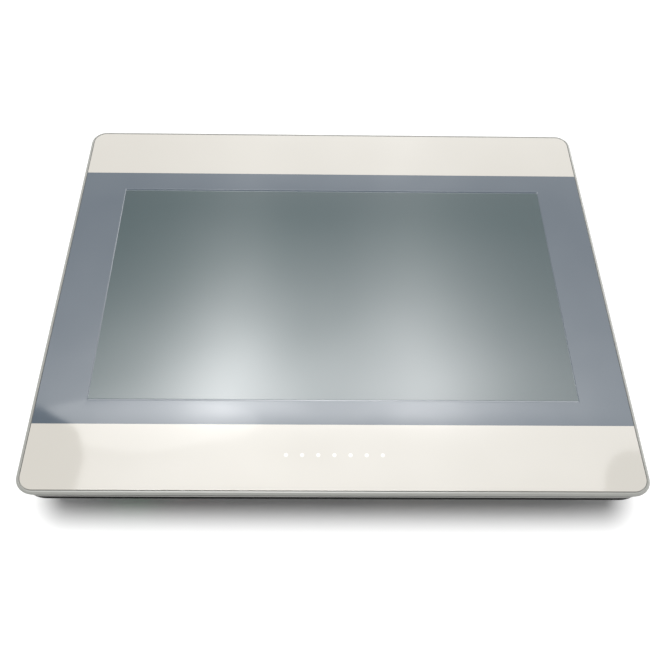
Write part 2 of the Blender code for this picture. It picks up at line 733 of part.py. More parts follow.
def make_ethernet_jack():
    """Shielded network jack; the socket steps in towards its latch."""
    half_w = 7.95 * MM
    low = ETHERNET_LOW_Z
    front = SIDE_Y - PROUD
    shell = ((ETHERNET_X - half_w, front, low), (ETHERNET_X + half_w, front + 16 * MM, UNDER_BOARD_Z))
    jack = part("ethernet_jack", blocks(shell), "nickel")
    top = UNDER_BOARD_Z - 2.2 * MM
    for half, rise in ((5.9 * MM, 4.4 * MM), (3.1 * MM, 2.9 * MM), (1.9 * MM, 1.5 * MM)):
        near = (ETHERNET_X - half, front - OVERSHOOT, low + rise)
        far = (ETHERNET_X + half, front + 12 * MM, top)
        cut(jack, "ethernet_opening", blocks((near, far)))


def d_outline(width, height):
    """The D-shaped outline of a 9-pin shell, its wide side up."""
    lean = height * math.tan(math.radians(10)) / 2
    half_w = width / 2
    half_h = height / 2
    cut_w = 1.6 * MM
    right = [
        (half_w - lean - cut_w, -half_h), (half_w - lean, cut_w - half_h),
        (half_w + lean, half_h - cut_w), (half_w + lean - cut_w, half_h),
    ]
    return right + [(-x, y) for x, y in reversed(right)]


def contact_places():
    """Nine contacts in rows of five and four."""
    pitch = 2.77 * MM
    row = 1.42 * MM
    upper = [((way - 2) * pitch, row, 0) for way in range(5)]
    lower = [((way - 1.5) * pitch, -row, 0) for way in range(4)]
    return upper + lower


def make_com_port(name, x, has_pins):
    """9-pin D connector; local Z points out of the panel's bottom side."""
    flange_t = 0.8 * MM
    reach = 6 * MM
    place = (x, SIDE_Y, CONNECTOR_MID_Z)
    flange = plate([rounded_rectangle(30.8 * MM, 12.4 * MM, 1.2 * MM)], -flange_t, 0)
    port = part(name, flange, "nickel", place, FACING_DOWN)
    behind = blocks(((-9.6 * MM, -5.4 * MM, -9 * MM), (9.6 * MM, 6.2 * MM, -flange_t / 2)))
    join(port, name + "_body", behind, place, FACING_DOWN)
    shell_w, shell_h = 16.6 * MM, 8.3 * MM
    shell = plate([d_outline(shell_w, shell_h)], -flange_t / 2, reach)
    join(port, name + "_shell", shell, place, FACING_DOWN)
    pin_r = 0.5 * MM
    if has_pins:
        wall = 0.9 * MM
        floor = 0.6 * MM
        inside = plate([d_outline(shell_w - wall, shell_h - wall)], floor, reach + OVERSHOOT)
        cut(port, name + "_inside", inside, place, FACING_DOWN)
        pins = [(px, py, 2.6 * MM) for px, py, _ in contact_places()]
        join(port, name + "_pins", rods(pin_r, 5.2 * MM, pins, 8), place, FACING_DOWN)
    else:
        holes = [(px, py, reach) for px, py, _ in contact_places()]
        cut(port, name + "_holes", rods(pin_r + 0.1 * MM, 8 * MM, holes, 8), place, FACING_DOWN)


def make_jack_posts():
    profile = [circle(2.9 * MM, facets=6)]
    reach = 5 * MM
    master = part("jack_post", plate(profile, GAP, GAP + reach), "nickel")
    cut(master, "jack_post_bore", rods(1.3 * MM, 7 * MM, ((0, 0, GAP + reach),), 16))
    mesh = finished_mesh(master)
    places = [x + side * JACK_POST_PITCH / 2 for x in (COM1_X, COM2_X) for side in (-1, 1)]
    for number, x in enumerate(places, 1):
        part(f"jack_post_{number}", mesh, "nickel", (x, SIDE_Y, CONNECTOR_MID_Z), FACING_DOWN)


# ---- rear cover ----------------------------------------------------------------------------

def make_rear_cover():
    back = plate([rounded_rectangle(BACK_W, BACK_H, BACK_R)], 0, LEDGE_Z + WALL / 2)
    cover = part("rear_cover", shade_round(round_rim(back, 0, BACK_BEVEL)), "cover")
    tier = plate([rounded_rectangle(TIER_W, TIER_H, TIER_R)], LEDGE_Z, COVER_TOP_Z)
    join(cover, "cover_tier", round_rim(tier, LEDGE_Z, WALL / 2))
    deep = plate(
        [rounded_rectangle(BACK_W - 2 * WALL, BACK_H - 2 * WALL, BACK_R - WALL)], WALL, LEDGE_Z + 2 * WALL
    )
    cut(cover, "cover_deep_inside", deep)
    wide = plate(
        [rounded_rectangle(TIER_W - 2 * WALL, TIER_H - 2 * WALL, TIER_R - WALL)],
        LEDGE_Z + WALL, COVER_TOP_Z + OVERSHOOT,
    )
    cut(cover, "cover_wide_inside", wide)
    recess = plate([rectangle(LABEL_W + 2 * GAP, LABEL_H + 2 * GAP)], -OVERSHOOT, LABEL_RECESS)
    cut(cover, "cover_label_recess", recess)
    cut(cover, "cover_vents", vent_slots())
    cut(cover, "cover_clamp_slots", clamp_slots())
    cut(cover, "cover_connector_windows", connector_windows())
    reset_at = (RESET_X, SIDE_Y, UNDER_BOARD_Z - RESET_HALF)
    cut(cover, "cover_reset_hole", rods(RESET_BUTTON_R + 0.7 * MM, 3 * WALL), reset_at, FACING_DOWN)
    places = [(x, y, LEDGE_Z) for x, y in corners(COVER_SCREW_AT)]
    cut(cover, "cover_screw_holes", rods(SCREW_BORE_R + 0.2 * MM, 3 * WALL, places))


def vent_slots():
    """Slots in the back, either side of the label, and along the top side."""
    spans = []
    half = VENT_W / 2
    for row in range(BACK_VENTS):
        for side in (-1, 1):
            x = side * (BACK_VENT_X + row * VENT_PITCH)
            near = (x - half, BACK_VENT_Y[0], -OVERSHOOT)
            far = (x + half, BACK_VENT_Y[1], WALL + OVERSHOOT)
            spans.append((near, far))
    for row in range(TOP_VENTS):
        x = (row - (TOP_VENTS - 1) / 2) * VENT_PITCH
        near = (x - half, -SIDE_Y - WALL - OVERSHOOT, TOP_VENT_Z[0])
        far = (x + half, -SIDE_Y + OVERSHOOT, TOP_VENT_Z[1])
        spans.append((near, far))
    return blocks(*spans)


def clamp_slots():
    """Hook slots for the mounting clamps: two in each wall of the upper tier."""
    spans = []
    half = CLAMP_SLOT_W / 2
    low_z, high_z = CLAMP_SLOT_Z
    reach = WALL + OVERSHOOT
    for along in (-1, 1):
        for side in (-1, 1):
            x, y = along * CLAMP_SLOT_X, side * (TIER_H / 2 - WALL / 2)
            spans.append(((x - half, y - reach, low_z), (x + half, y + reach, high_z)))
            x, y = side * (TIER_W / 2 - WALL / 2), along * CLAMP_SLOT_Y
            spans.append(((x - reach, y - half, low_z), (x + reach, y + half, high_z)))
    return blocks(*spans)


def connector_windows():
    """Openings in the bottom side: middle, half width and lower edge of each."""
    low_y, high_y = SIDE_Y - OVERSHOOT, SIDE_Y + WALL + OVERSHOOT
    top = UNDER_BOARD_Z + GAP
    windows = [
        (POWER_X, 9.5 * MM, HEADER_LOW_Z - 0.5 * MM),
        (DIP_X, 6.7 * MM, DIP_LOW_Z - 0.5 * MM),
        (USB_CLIENT_X, 4.4 * MM, 10.9 * MM),
        (USB_HOST_X, 7.1 * MM, 9.1 * MM),
        (ETHERNET_X, 8.5 * MM, ETHERNET_LOW_Z - GAP),
        (COM1_X, 15.8 * MM, 2.2 * MM),
        (COM2_X, 15.8 * MM, 2.2 * MM),
    ]
    return blocks(*[((x - half, low_y, low), (x + half, high_y, top)) for x, half, low in windows])


def make_rating_label():
    low = LABEL_RECESS - GAP - LABEL_T
    outline = rounded_rectangle(LABEL_W, LABEL_H, 1.5 * MM)
    part("rating_label", plate([outline], low, low + LABEL_T), "label")


# ---- fasteners -----------------------------------------------------------------------------

def plus_outline(arm, half_width):
    points = []
    for quarter in range(4):
        turn = Matrix.Rotation(math.radians(90 * quarter), 2)
        for corner in ((arm, -half_width), (arm, half_width), (half_width, half_width)):
            points.append(tuple(turn @ Vector(corner)))
    return points


def screw_mesh(length, facets):
    """Pan-head screw, head down, with the underside of its head at z = 0."""
    shank, head, tall = SCREW_SHANK_R, SCREW_HEAD_R, SCREW_HEAD_H
    profile = [
        (0, length), (shank - 0.4 * MM, length), (shank, length - 0.6 * MM), (shank, 0), (head, 0),
        (head, -0.5 * tall), (0.8 * head, -0.9 * tall), (0.45 * head, -tall), (0, -tall),
    ]
    master = part("screw", turned(profile, facets), "nickel")
    recess = plate([plus_outline(1.5 * MM, 0.35 * MM)], -tall - OVERSHOOT, -tall + 0.9 * MM)
    cut(master, "screw_recess", recess)
    return finished_mesh(master)


def make_screws(name, places, seat_z, length, facets=HIDDEN_STEPS):
    mesh = screw_mesh(length, facets)
    for number, (x, y) in enumerate(places, 1):
        part(f"{name}_{number}", mesh, "nickel", (x, y, seat_z))


# ---- assembly ------------------------------------------------------------------------------

def build():
    make_overlay_film()
    make_front_bezel()
    make_panel_gasket()
    make_touch_screen()
    make_lcd_module()
    make_display_bracket()
    make_main_board()
    make_processor_and_sink()
    make_chip("memory_chip", (38 * MM, -22 * MM), (9 * MM, 13 * MM, 1.1 * MM))
    make_chip("flash_chip", (-24 * MM, -24 * MM), (12 * MM, 18 * MM, 1.1 * MM))
    make_coin_cell()
    make_power_stage()
    make_buzzer()
    make_power_header()
    make_power_plug()
    make_dip_switch()
    make_reset_switch()
    usb_a = (13.1 * MM, 5.7 * MM, 14 * MM)
    usb_mini = (7.7 * MM, 3.9 * MM, 9 * MM)
    make_usb_port("usb_host_port", USB_HOST_X, usb_a, 0.45 * MM, (11 * MM, 1.6 * MM))
    make_usb_port("usb_client_port", USB_CLIENT_X, usb_mini, 0.4 * MM, (4.6 * MM, 0.9 * MM))
    make_ethernet_jack()
    make_com_port("com_port_1", COM1_X, True)
    make_com_port("com_port_2", COM2_X, False)
    make_jack_posts()
    make_rear_cover()
    make_rating_label()
    make_screws("cover_screw", corners(COVER_SCREW_AT), LEDGE_Z - GAP, 11 * MM, ROUND_STEPS)
    make_screws("bracket_screw", corners(BRACKET_SCREW_AT), BRACKET_Z[0] - GAP, 7 * MM)
    make_screws("board_screw", board_screw_places(), BOARD_Z[0] - GAP, 5 * MM)


build()
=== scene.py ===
"""Looks of the touch-screen operator panel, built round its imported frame. Metres, +Z out of the screen."""

import math

import bmesh
import bpy
from mathutils import Matrix, Vector


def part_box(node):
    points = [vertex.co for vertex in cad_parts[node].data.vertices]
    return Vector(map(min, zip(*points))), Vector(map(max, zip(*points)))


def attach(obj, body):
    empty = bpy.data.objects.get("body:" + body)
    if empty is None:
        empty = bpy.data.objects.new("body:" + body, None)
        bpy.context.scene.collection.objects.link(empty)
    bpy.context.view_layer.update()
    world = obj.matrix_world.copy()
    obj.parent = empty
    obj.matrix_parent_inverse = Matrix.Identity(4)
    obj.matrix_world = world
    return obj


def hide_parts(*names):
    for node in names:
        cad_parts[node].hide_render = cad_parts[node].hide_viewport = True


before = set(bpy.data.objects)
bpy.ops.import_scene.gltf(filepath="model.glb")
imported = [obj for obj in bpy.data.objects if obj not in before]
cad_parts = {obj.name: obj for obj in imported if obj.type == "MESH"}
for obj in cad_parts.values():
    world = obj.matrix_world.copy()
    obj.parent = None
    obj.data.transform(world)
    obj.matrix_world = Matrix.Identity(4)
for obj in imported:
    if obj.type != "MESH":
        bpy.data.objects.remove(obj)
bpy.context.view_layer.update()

MM = 0.001
WELD = 0.005 * MM
CORNER_STEPS = 14
ROUND_STEPS = 40
PANEL = "panel"

# The design's own sizes that the frame's boxes don't give. First the bezel and its display opening
FACE_R = 8 * MM
RIM_W = 1.5 * MM
OPENING_W, OPENING_H, OPENING_AT = 228 * MM, 131 * MM, (-0.3 * MM, 0.3 * MM)
# The film's sunk window, and the edges of its dark print between the two light bands
SUNK_W, SUNK_H, SUNK_AT = 222.8 * MM, 126 * MM, (0.1 * MM, 0.2 * MM)
WINDOW_RECESS = 0.25 * MM
BAND_LOW, BAND_HIGH = -74.5 * MM, 75.0 * MM
GASKET_W, GASKET_R = 4 * MM, 13 * MM
# The cover: its rear tier, its front tier and its wall
BACK_W, BACK_H, BACK_R = 236 * MM, 172 * MM, 8 * MM
TIER_W, TIER_H, TIER_R = 258.4 * MM, 200.4 * MM, 6.5 * MM
WALL = 2 * MM
# x, half width and low edge in mm of each window in the cover's bottom side
CONNECTOR_WINDOWS = (
    (-92, 9.5, 3.8), (-68, 6.7, 8.5), (-40, 4.4, 10.9), (-22, 7.1, 9.1), (2, 8.5, 1.9), (38, 15.8, 2.2),
    (80, 15.8, 2.2),
)
TERMINAL_PITCH = 5.08 * MM
TERMINAL_X = [-92 * MM + (way - 1) * TERMINAL_PITCH for way in range(3)]


# ---- meshes --------------------------------------------------------------------------------

def rounded(width, height, radius, at=(0, 0), z=0, steps=CORNER_STEPS):
    """An anticlockwise rounded rectangle as points at height z."""
    points = []
    for quarter, (side_x, side_y) in enumerate(((1, 1), (-1, 1), (-1, -1), (1, -1))):
        centre_x = at[0] + side_x * (width / 2 - radius)
        centre_y = at[1] + side_y * (height / 2 - radius)
        for step in range(steps + 1):
            turn = math.radians(90) * (quarter + step / steps)
            points.append((centre_x + radius * math.cos(turn), centre_y + radius * math.sin(turn), z))
    return points


def circle(radius, at=(0, 0), z=0, steps=ROUND_STEPS):
    turns = [math.tau * step / steps for step in range(steps)]
    return [(at[0] + radius * math.cos(turn), at[1] + radius * math.sin(turn), z) for turn in turns]


def from_mm(*points):
    """Points given in millimetres, as metres."""
    return [tuple(part * MM for part in point) for point in points]


def loft(rings, closed=False, sharp=30):
    """Skin between rings of equal length: capped at both ends, or closed round on itself."""
    bm = bmesh.new()
    rows = [[bm.verts.new(point) for point in ring] for ring in rings]
    pairs = list(zip(rows, rows[1:]))
    if closed:
        pairs.append((rows[-1], rows[0]))
    count = len(rings[0])
    for low, high in pairs:
        for i in range(count):
            j = (i + 1) % count
            bm.faces.new((low[i], low[j], high[j], high[i]))
    if not closed:
        bm.faces.new(list(reversed(rows[0])))
        bm.faces.new(rows[-1])
    bmesh.ops.remove_doubles(bm, verts=bm.verts, dist=WELD)
    bmesh.ops.recalc_face_normals(bm, faces=bm.faces)
    mesh = bpy.data.meshes.new("loft")
    bm.to_mesh(mesh)
    bm.free()
    mesh.shade_smooth()
    mesh.set_sharp_from_angle(angle=math.radians(sharp))
    return mesh


def arc(centre, radius, start, end, steps=4):
    """Points (across, up) on an arc, angles in degrees."""
    turns = [math.radians(start + (end - start) * step / steps) for step in range(steps + 1)]
    return [(centre[0] + radius * math.cos(turn), centre[1] + radius * math.sin(turn)) for turn in turns]


def frame_rings(width, height, radius, profile, at=(0, 0)):
    """Rings whose inset from one outline, and height, follow a profile."""
    smallest = 0.15 * MM
    return [
        rounded(width - 2 * inset, height - 2 * inset, max(radius - inset, smallest), at, z)
        for inset, z in profile
    ]


def turned(profile, steps=ROUND_STEPS):
    """A body turned about Z from (radius, height) points; both ends are capped."""
    return loft([circle(max(radius, WELD), z=z, steps=steps) for radius, z in profile])


def merged(*meshes):
    bm = bmesh.new()
    for mesh in meshes:
        bm.from_mesh(mesh)
    joined = bpy.data.meshes.new("merged")
    bm.to_mesh(joined)
    bm.free()
    return joined


def moved(mesh, matrix):
    mesh.transform(matrix)
    return mesh


def block(low, high, edge=0.15 * MM):
    """A box with rounded edges, from its low to its high corner."""
    low, high = Vector(low), Vector(high)
    size = high - low
    edge = min(edge, 0.45 * min(size))
    middle = ((low.x + high.x) / 2, (low.y + high.y) / 2)
    profile = arc((edge, low.z + edge), edge, 270, 180, 3) + arc((edge, high.z - edge), edge, 180, 90, 3)
    rings = [
        rounded(size.x - 2 * inset, size.y - 2 * inset, max(edge - inset, 0.02 * MM), middle, z, 3)
        for inset, z in profile
    ]
    return loft(rings)


def bar(x, half, near, far, edge=0.1 * MM):
    """A block centred across on x, between its low and high corners in Y and Z."""
    return block((x - half, *near), (x + half, *far), edge)


def rotation(degrees, axis):
    return Matrix.Rotation(math.radians(degrees), 4, axis)


def facing_down(place):
    """Takes a shape drawn in XY with Z outwards to the bottom side, facing -Y."""
    return Matrix.Translation(place) @ rotation(90, "X")


def piece(name, mesh, finishes, body=PANEL, stands_for=()):
    """A visible piece that rides on a body, with one finish or one for each material index."""
    mesh.name = name
    for finish in finishes if isinstance(finishes, list) else [finishes]:
        mesh.materials.append(finish)
    obj = bpy.data.objects.new(name, mesh)
    bpy.context.scene.collection.objects.link(obj)
    even = obj.modifiers.new("flat_faces", "WEIGHTED_NORMAL")
    even.keep_sharp = True
    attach(obj, body)
    if stands_for:
        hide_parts(*stands_for)
    return obj


def boolean(mesh, tool, operation="DIFFERENCE"):
    """The mesh after one exact Boolean with another."""
    target = bpy.data.objects.new("target", mesh)
    other = bpy.data.objects.new("other", tool)
    for obj in (target, other):
        bpy.context.scene.collection.objects.link(obj)
    modifier = target.modifiers.new("cut", "BOOLEAN")
    modifier.operation = operation
    modifier.solver = "EXACT"
    modifier.object = other
    depsgraph = bpy.context.evaluated_depsgraph_get()
    result = bpy.data.meshes.new_from_object(target.evaluated_get(depsgraph))
    for obj in (target, other):
        bpy.data.objects.remove(obj, do_unlink=True)
    result.shade_smooth()
    result.set_sharp_from_angle(angle=math.radians(30))
    return result


# ---- materials -----------------------------------------------------------------------------

class Nodes:
    """A node tree and short calls that add nodes to it."""

    def __init__(self, tree):
        self.tree = tree

    def add(self, kind, inputs=None, **settings):
        made = self.tree.nodes.new(kind)
        for key, value in settings.items():
            setattr(made, key, value)
        for key, value in (inputs or {}).items():
            self.put(made.inputs[key], value)
        return made

    def put(self, socket, value):
        if isinstance(value, bpy.types.NodeSocket):
            self.tree.links.new(value, socket)
        elif socket.type == "RGBA":
            socket.default_value = (*value, 1.0)
        else:
            socket.default_value = value

    def step(self, value, start, end):
        """0 below start and 1 above end, smooth between."""
        made = self.add(
            "ShaderNodeMapRange", {"Value": value, "From Min": start, "From Max": end},
            interpolation_type="SMOOTHSTEP",
        )
        return made.outputs["Result"]

    def math(self, operation, first, second=0.0):
        return self.add("ShaderNodeMath", {0: first, 1: second}, operation=operation).outputs[0]


class Shader(Nodes):
    """A material made of nodes round its Principled shader."""

    def __init__(self, name):
        self.material = bpy.data.materials.new(name)
        self.material.use_nodes = True
        super().__init__(self.material.node_tree)
        self.principled = self.tree.nodes["Principled BSDF"]
        self.place = self.add("ShaderNodeTexCoord").outputs["Object"]

    def set(self, **inputs):
        """Sets what the Principled shader takes and gives the material."""
        for key, value in inputs.items():
            self.put(self.principled.inputs[key.replace("_", " ")], value)
        return self.material

    def noise(self, scale, detail=2.0, roughness=0.5, stretch=None):
        vector = self.place
        if stretch:
            vector = self.add("ShaderNodeMapping", {"Vector": self.place, "Scale": stretch}).outputs["Vector"]
        made = self.add(
            "ShaderNodeTexNoise",
            {"Vector": vector, "Scale": scale, "Detail": detail, "Roughness": roughness},
        )
        return made.outputs["Fac"]

    def span(self, value, low, high):
        """value, from 0 to 1, carried to low to high."""
        made = self.add("ShaderNodeMapRange", {"Value": value, "To Min": low, "To Max": high})
        return made.outputs["Result"]

    def uneven(self, low, high, scale, detail=2.0):
        """A value that wanders between low and high."""
        return self.span(self.noise(scale, detail), low, high)

    def stripes(self, scale):
        """Soft bands across X, from 0 to 1."""
        made = self.add("ShaderNodeTexWave", {"Vector": self.place, "Scale": scale}, bands_direction="X")
        return made.outputs["Fac"]

    def cells(self, scale, output="Distance", **settings):
        made = self.add("ShaderNodeTexVoronoi", {"Vector": self.place, "Scale": scale}, **settings)
        return made.outputs[output]

    def mix(self, factor, first, second):
        made = self.add("ShaderNodeMix", {"Factor": factor, "A": first, "B": second}, data_type="RGBA")
        return made.outputs["Result"]

    def bump(self, height, distance, strength=1.0, normal=None):
        inputs = {"Height": height, "Distance": distance, "Strength": strength}
        if normal:
            inputs["Normal"] = normal
        return self.add("ShaderNodeBump", inputs).outputs["Normal"]


def printed_film(clouds, darker, lighter, speck, share):
    """Glossy printed polyester: barely wavy, in two near tints, with fine specks of a third."""
    shade = Shader("printed_film")
    waves = shade.bump(shade.noise(14, 1.0), 0.00045, 0.55)
    ripple = shade.bump(shade.noise(90, 2.0), 0.00001, 0.5, waves)
    tint = shade.mix(shade.noise(clouds, 2), darker, lighter)
    grain = shade.mix(shade.uneven(0.0, share, 6500, 1), tint, speck)
    return shade.set(Base_Color=grain, Roughness=shade.uneven(0.03, 0.06, 30), Normal=ripple, IOR=1.5)


def film_ivory():
    return printed_film(9, (0.482, 0.460, 0.417), (0.502, 0.486, 0.450), (0.43, 0.41, 0.37), 0.10)


def film_dark():
    return printed_film(11, (0.080, 0.100, 0.123), (0.093, 0.114, 0.138), (0.137, 0.153, 0.169), 0.16)


def film_window():
    """The fine anti-glare texture over the dark display, with its faint tints."""
    shade = Shader("film_window")
    clouds = shade.noise(13, 2, stretch=(1, 0.8, 1))
    tint = shade.mix(clouds, (0.017, 0.044, 0.046), (0.026, 0.046, 0.053))
    sparkle = shade.bump(shade.noise(4200, 1), 0.0000015, 0.5)
    return shade.set(Base_Color=tint, Roughness=shade.uneven(0.105, 0.125, 22), Normal=sparkle, IOR=1.63)


def film_marks():
    shade = Shader("film_marks")
    tint = shade.mix(shade.noise(900), (0.60, 0.59, 0.565), (0.645, 0.637, 0.613))
    return shade.set(Base_Color=tint, Roughness=0.35)


def moulded(name, dark, light, roughness=0.5, grain=2600, depth=0.00002, coat=0.0):
    """Moulded plastic: slightly uneven colour, a spark-eroded grain and uneven gloss."""
    shade = Shader(name)
    broad = shade.mix(shade.noise(45, 3), dark, light)
    fine = shade.noise(grain, 2)
    tint = shade.mix(shade.span(fine, 0.0, 0.25), broad, [0.8 * part for part in dark])
    return shade.set(
        Base_Color=tint,
        Roughness=shade.uneven(roughness - 0.06, roughness + 0.07, 130, 3),
        Normal=shade.bump(fine, depth, 0.7),
        Coat_Weight=coat,
    )


def seal_foam():
    """Closed-cell black seal: small round cells under a dull skin."""
    shade = Shader("seal_foam")
    cells = shade.cells(1500, feature="SMOOTH_F1")
    tint = shade.mix(cells, (0.003, 0.003, 0.003), (0.012, 0.012, 0.013))
    return shade.set(
        Base_Color=tint,
        Roughness=shade.uneven(0.78, 0.92, 300),
        Specular_IOR_Level=0.08,
        Normal=shade.bump(cells, 0.00012, 0.8),
    )


# ---- the front -----------------------------------------------------------------------------

def build_film():
    """One sheet with the sunk window. Faces take their print from where they lie."""
    low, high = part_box("overlay_film")
    width, height = high.x - low.x, high.y - low.y
    radius = FACE_R - RIM_W - 0.3 * MM
    edge = [(0, low.z), (0, high.z - 0.12 * MM), (0.04 * MM, high.z - 0.03 * MM), (0.14 * MM, high.z)]
    rings = frame_rings(width, height, radius, edge)
    # The lip is narrow at the two ends and wide along the two long sides
    lip = [
        (-0.12 * MM, -0.35 * MM, 0.0),
        (-0.04 * MM, -0.15 * MM, 0.03 * MM),
        (0.20 * MM, 0.60 * MM, WINDOW_RECESS - 0.04 * MM),
        (0.30 * MM, 0.85 * MM, WINDOW_RECESS),
    ]
    for end_inset, side_inset, depth in lip:
        wide, tall = SUNK_W - 2 * end_inset, SUNK_H - 2 * side_inset
        rings.append(rounded(wide, tall, 0.3 * MM, SUNK_AT, high.z - depth))
    mesh = loft(rings)
    bm = bmesh.new()
    bm.from_mesh(mesh)
    for edge_y in (BAND_LOW, BAND_HIGH):
        geometry = bm.verts[:] + bm.edges[:] + bm.faces[:]
        bmesh.ops.bisect_plane(bm, geom=geometry, plane_co=(0, edge_y, 0), plane_no=(0, 1, 0))
    half = Vector((SUNK_W / 2 - 0.3 * MM, SUNK_H / 2 - 0.3 * MM))
    for face in bm.faces:
        middle = face.calc_center_median()
        in_window = abs(middle.x - SUNK_AT[0]) < half.x and abs(middle.y - SUNK_AT[1]) < half.y
        if in_window and face.normal.z > 0.9:
            face.material_index = 2
        elif BAND_LOW < middle.y < BAND_HIGH:
            face.material_index = 1
    bm.to_mesh(mesh)
    bm.free()
    finishes = [film_ivory(), film_dark(), film_window()]
    piece("overlay_sheet", mesh, finishes, stands_for=["overlay_film"])


def build_marks():
    """A faint row of plain printed dots on the lower band."""
    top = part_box("overlay_film")[1].z
    radius = 0.9 * MM
    dots = []
    for step in range(7):
        at = ((step - 3) * 7 * MM, -88.8 * MM)
        rings = [
            circle(radius, at, top - 0.02 * MM),
            circle(radius, at, top + 0.012 * MM),
            circle(radius - 0.05 * MM, at, top + 0.02 * MM),
        ]
        dots.append(loft(rings))
    piece("printed_dots", merged(*dots), film_marks())


def bezel_post(radius, end):
    """A screw post from its root in the flange to its chamfered end and up its hole. Sizes in mm."""
    outside = from_mm((radius + 0.3, 34), (radius, 30), (radius, end + 0.3), (radius - 0.3, end))
    hole = from_mm((1.3, end), (1.0, end + 0.4), (1.0, 33))
    return turned(outside + hole, 24)


def build_bezel():
    """One moulded frame: rounded rim, groove round the side, upstand, display opening and posts."""
    low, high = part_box("front_bezel")
    width, height = high.x - low.x, high.y - low.y
    top, back = high.z, 33.4 * MM
    floor = 35.6 * MM
    side = [
        (RIM_W, floor),
        (RIM_W, top - 0.12 * MM),
        (RIM_W - 0.12 * MM, top),
        *arc((1.25 * MM, top - 1.25 * MM), 1.25 * MM, 90, 180, 8),
        (0.02 * MM, top - 1.30 * MM),
        (0.75 * MM, top - 1.36 * MM),
        (0.75 * MM, top - 2.20 * MM),
        (0.02 * MM, top - 2.28 * MM),
        *arc((0.35 * MM, back - 0.2 * MM), 0.3 * MM, 180, 270, 3),
    ]
    rings = []
    for inset, z in side:
        # The side's corners widen below the groove, as the flange is drawn in there
        widen = 3.5 * MM * min(1.0, max(0.0, (top - 0.9 * MM - z) / (1.6 * MM)))
        radius = FACE_R - inset + widen
        rings.append(rounded(width - 2 * inset, height - 2 * inset, radius, (0, 0), z))
    upstand = from_mm((0, 33.4), (0, 28.3), (0.3, 28), (1.7, 28), (2, 28.3), (2, 33.4))
    rings += frame_rings(252.9 * MM, 194.9 * MM, 4.5 * MM, upstand)
    opening = [(0, back), (0, floor)]
    rings += frame_rings(OPENING_W, OPENING_H, 1.5 * MM, opening, OPENING_AT)
    shell = loft(rings, closed=True)
    posts = []
    for x, y, end, radius in ((121, 92, 19.0, 3.5), (106, 79, 24.3, 3.0)):
        for side_x in (-1, 1):
            for side_y in (-1, 1):
                place = Matrix.Translation((side_x * x * MM, side_y * y * MM, 0))
                posts.append(moved(bezel_post(radius, end), place))
    finish = moulded("bezel_plastic", (0.262, 0.264, 0.246), (0.293, 0.295, 0.276), 0.32, 3200, 0.000008)
    piece("bezel_frame", merged(shell, *posts), finish, stands_for=["front_bezel"])


def build_gasket():
    """The foam bulges out flush with the bezel's side, and is cut rounder at the corners."""
    low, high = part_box("panel_gasket")
    round_r = 0.5 * MM
    swell = 0.22 * MM
    top = high.z - 0.25 * MM
    bulge = [
        *arc((round_r, low.z + round_r), round_r, 270, 180, 4),
        *arc((round_r, top - round_r), round_r, 180, 90, 4),
        *arc((GASKET_W - round_r, top - round_r), round_r, 90, 0, 4),
        *arc((GASKET_W - round_r, low.z + round_r), round_r, 0, -90, 4),
    ]
    width, height = high.x - low.x + 2 * swell, high.y - low.y + 2 * swell
    rings = frame_rings(width, height, GASKET_R, bulge)
    piece("seal_ring", loft(rings, closed=True, sharp=60), seal_foam(),
          stands_for=["panel_gasket"])


build_film()
build_marks()
build_bezel()
build_gasket()


# ---- the rear cover ------------------------------------------------------------------------

def slot_prism(width, length, deep, place, turn=Matrix.Identity(4)):
    """A cutter with rounded ends, drawn in XY and centred on a place."""
    radius = 0.45 * min(width, length)
    prism = loft([rounded(width, length, radius, z=z, steps=3) for z in (-deep / 2, deep / 2)])
    return moved(prism, Matrix.Translation(place) @ turn)


def cover_cutters():
    """Everything that opens the cover: vents, clamp hooks, sockets, screws and the label's seat."""
    half_w, half_h = TIER_W / 2 - WALL / 2, TIER_H / 2 - WALL / 2
    to_side, to_end = rotation(90, "X"), rotation(90, "Y")
    tools = []
    for row in range(12):
        for side in (-1, 1):
            place = (side * (26 + 6 * row) * MM, 56 * MM, WALL / 2)
            tools.append(slot_prism(2.2 * MM, 24 * MM, 3 * WALL, place))
    for row in range(29):
        place = ((row - 14) * 6 * MM, BACK_H / 2 - WALL / 2, 8.5 * MM)
        tools.append(slot_prism(2.2 * MM, 9 * MM, 3 * WALL, place, to_side))
    for along in (-1, 1):
        for side in (-1, 1):
            place = (along * 75 * MM, side * half_h, 24 * MM)
            tools.append(slot_prism(14 * MM, 4 * MM, 3 * WALL, place, to_side))
            place = (side * half_w, along * 45 * MM, 24 * MM)
            tools.append(slot_prism(4 * MM, 14 * MM, 3 * WALL, place, to_end))
            hole = turned(from_mm((1.7, 12), (1.7, 22)), 24)
            tools.append(moved(hole, Matrix.Translation((along * 121 * MM, side * 92 * MM, 0))))
    window_top = 15.6 * MM
    for x, half, low in CONNECTOR_WINDOWS:
        place = (x * MM, WALL / 2 - BACK_H / 2, (low * MM + window_top) / 2)
        tools.append(slot_prism(2 * half * MM, window_top - low * MM, 2 * WALL, place, to_side))
    hole = turned([(2.2 * MM, -WALL), (2.2 * MM, 2 * WALL)], 32)
    tools.append(moved(hole, facing_down((-55 * MM, WALL - BACK_H / 2, 12.3 * MM))))
    tools.append(loft([rounded(90.6 * MM, 46.6 * MM, 1.2 * MM, z=z) for z in (-1 * MM, 0.7 * MM)]))
    return merged(*tools)


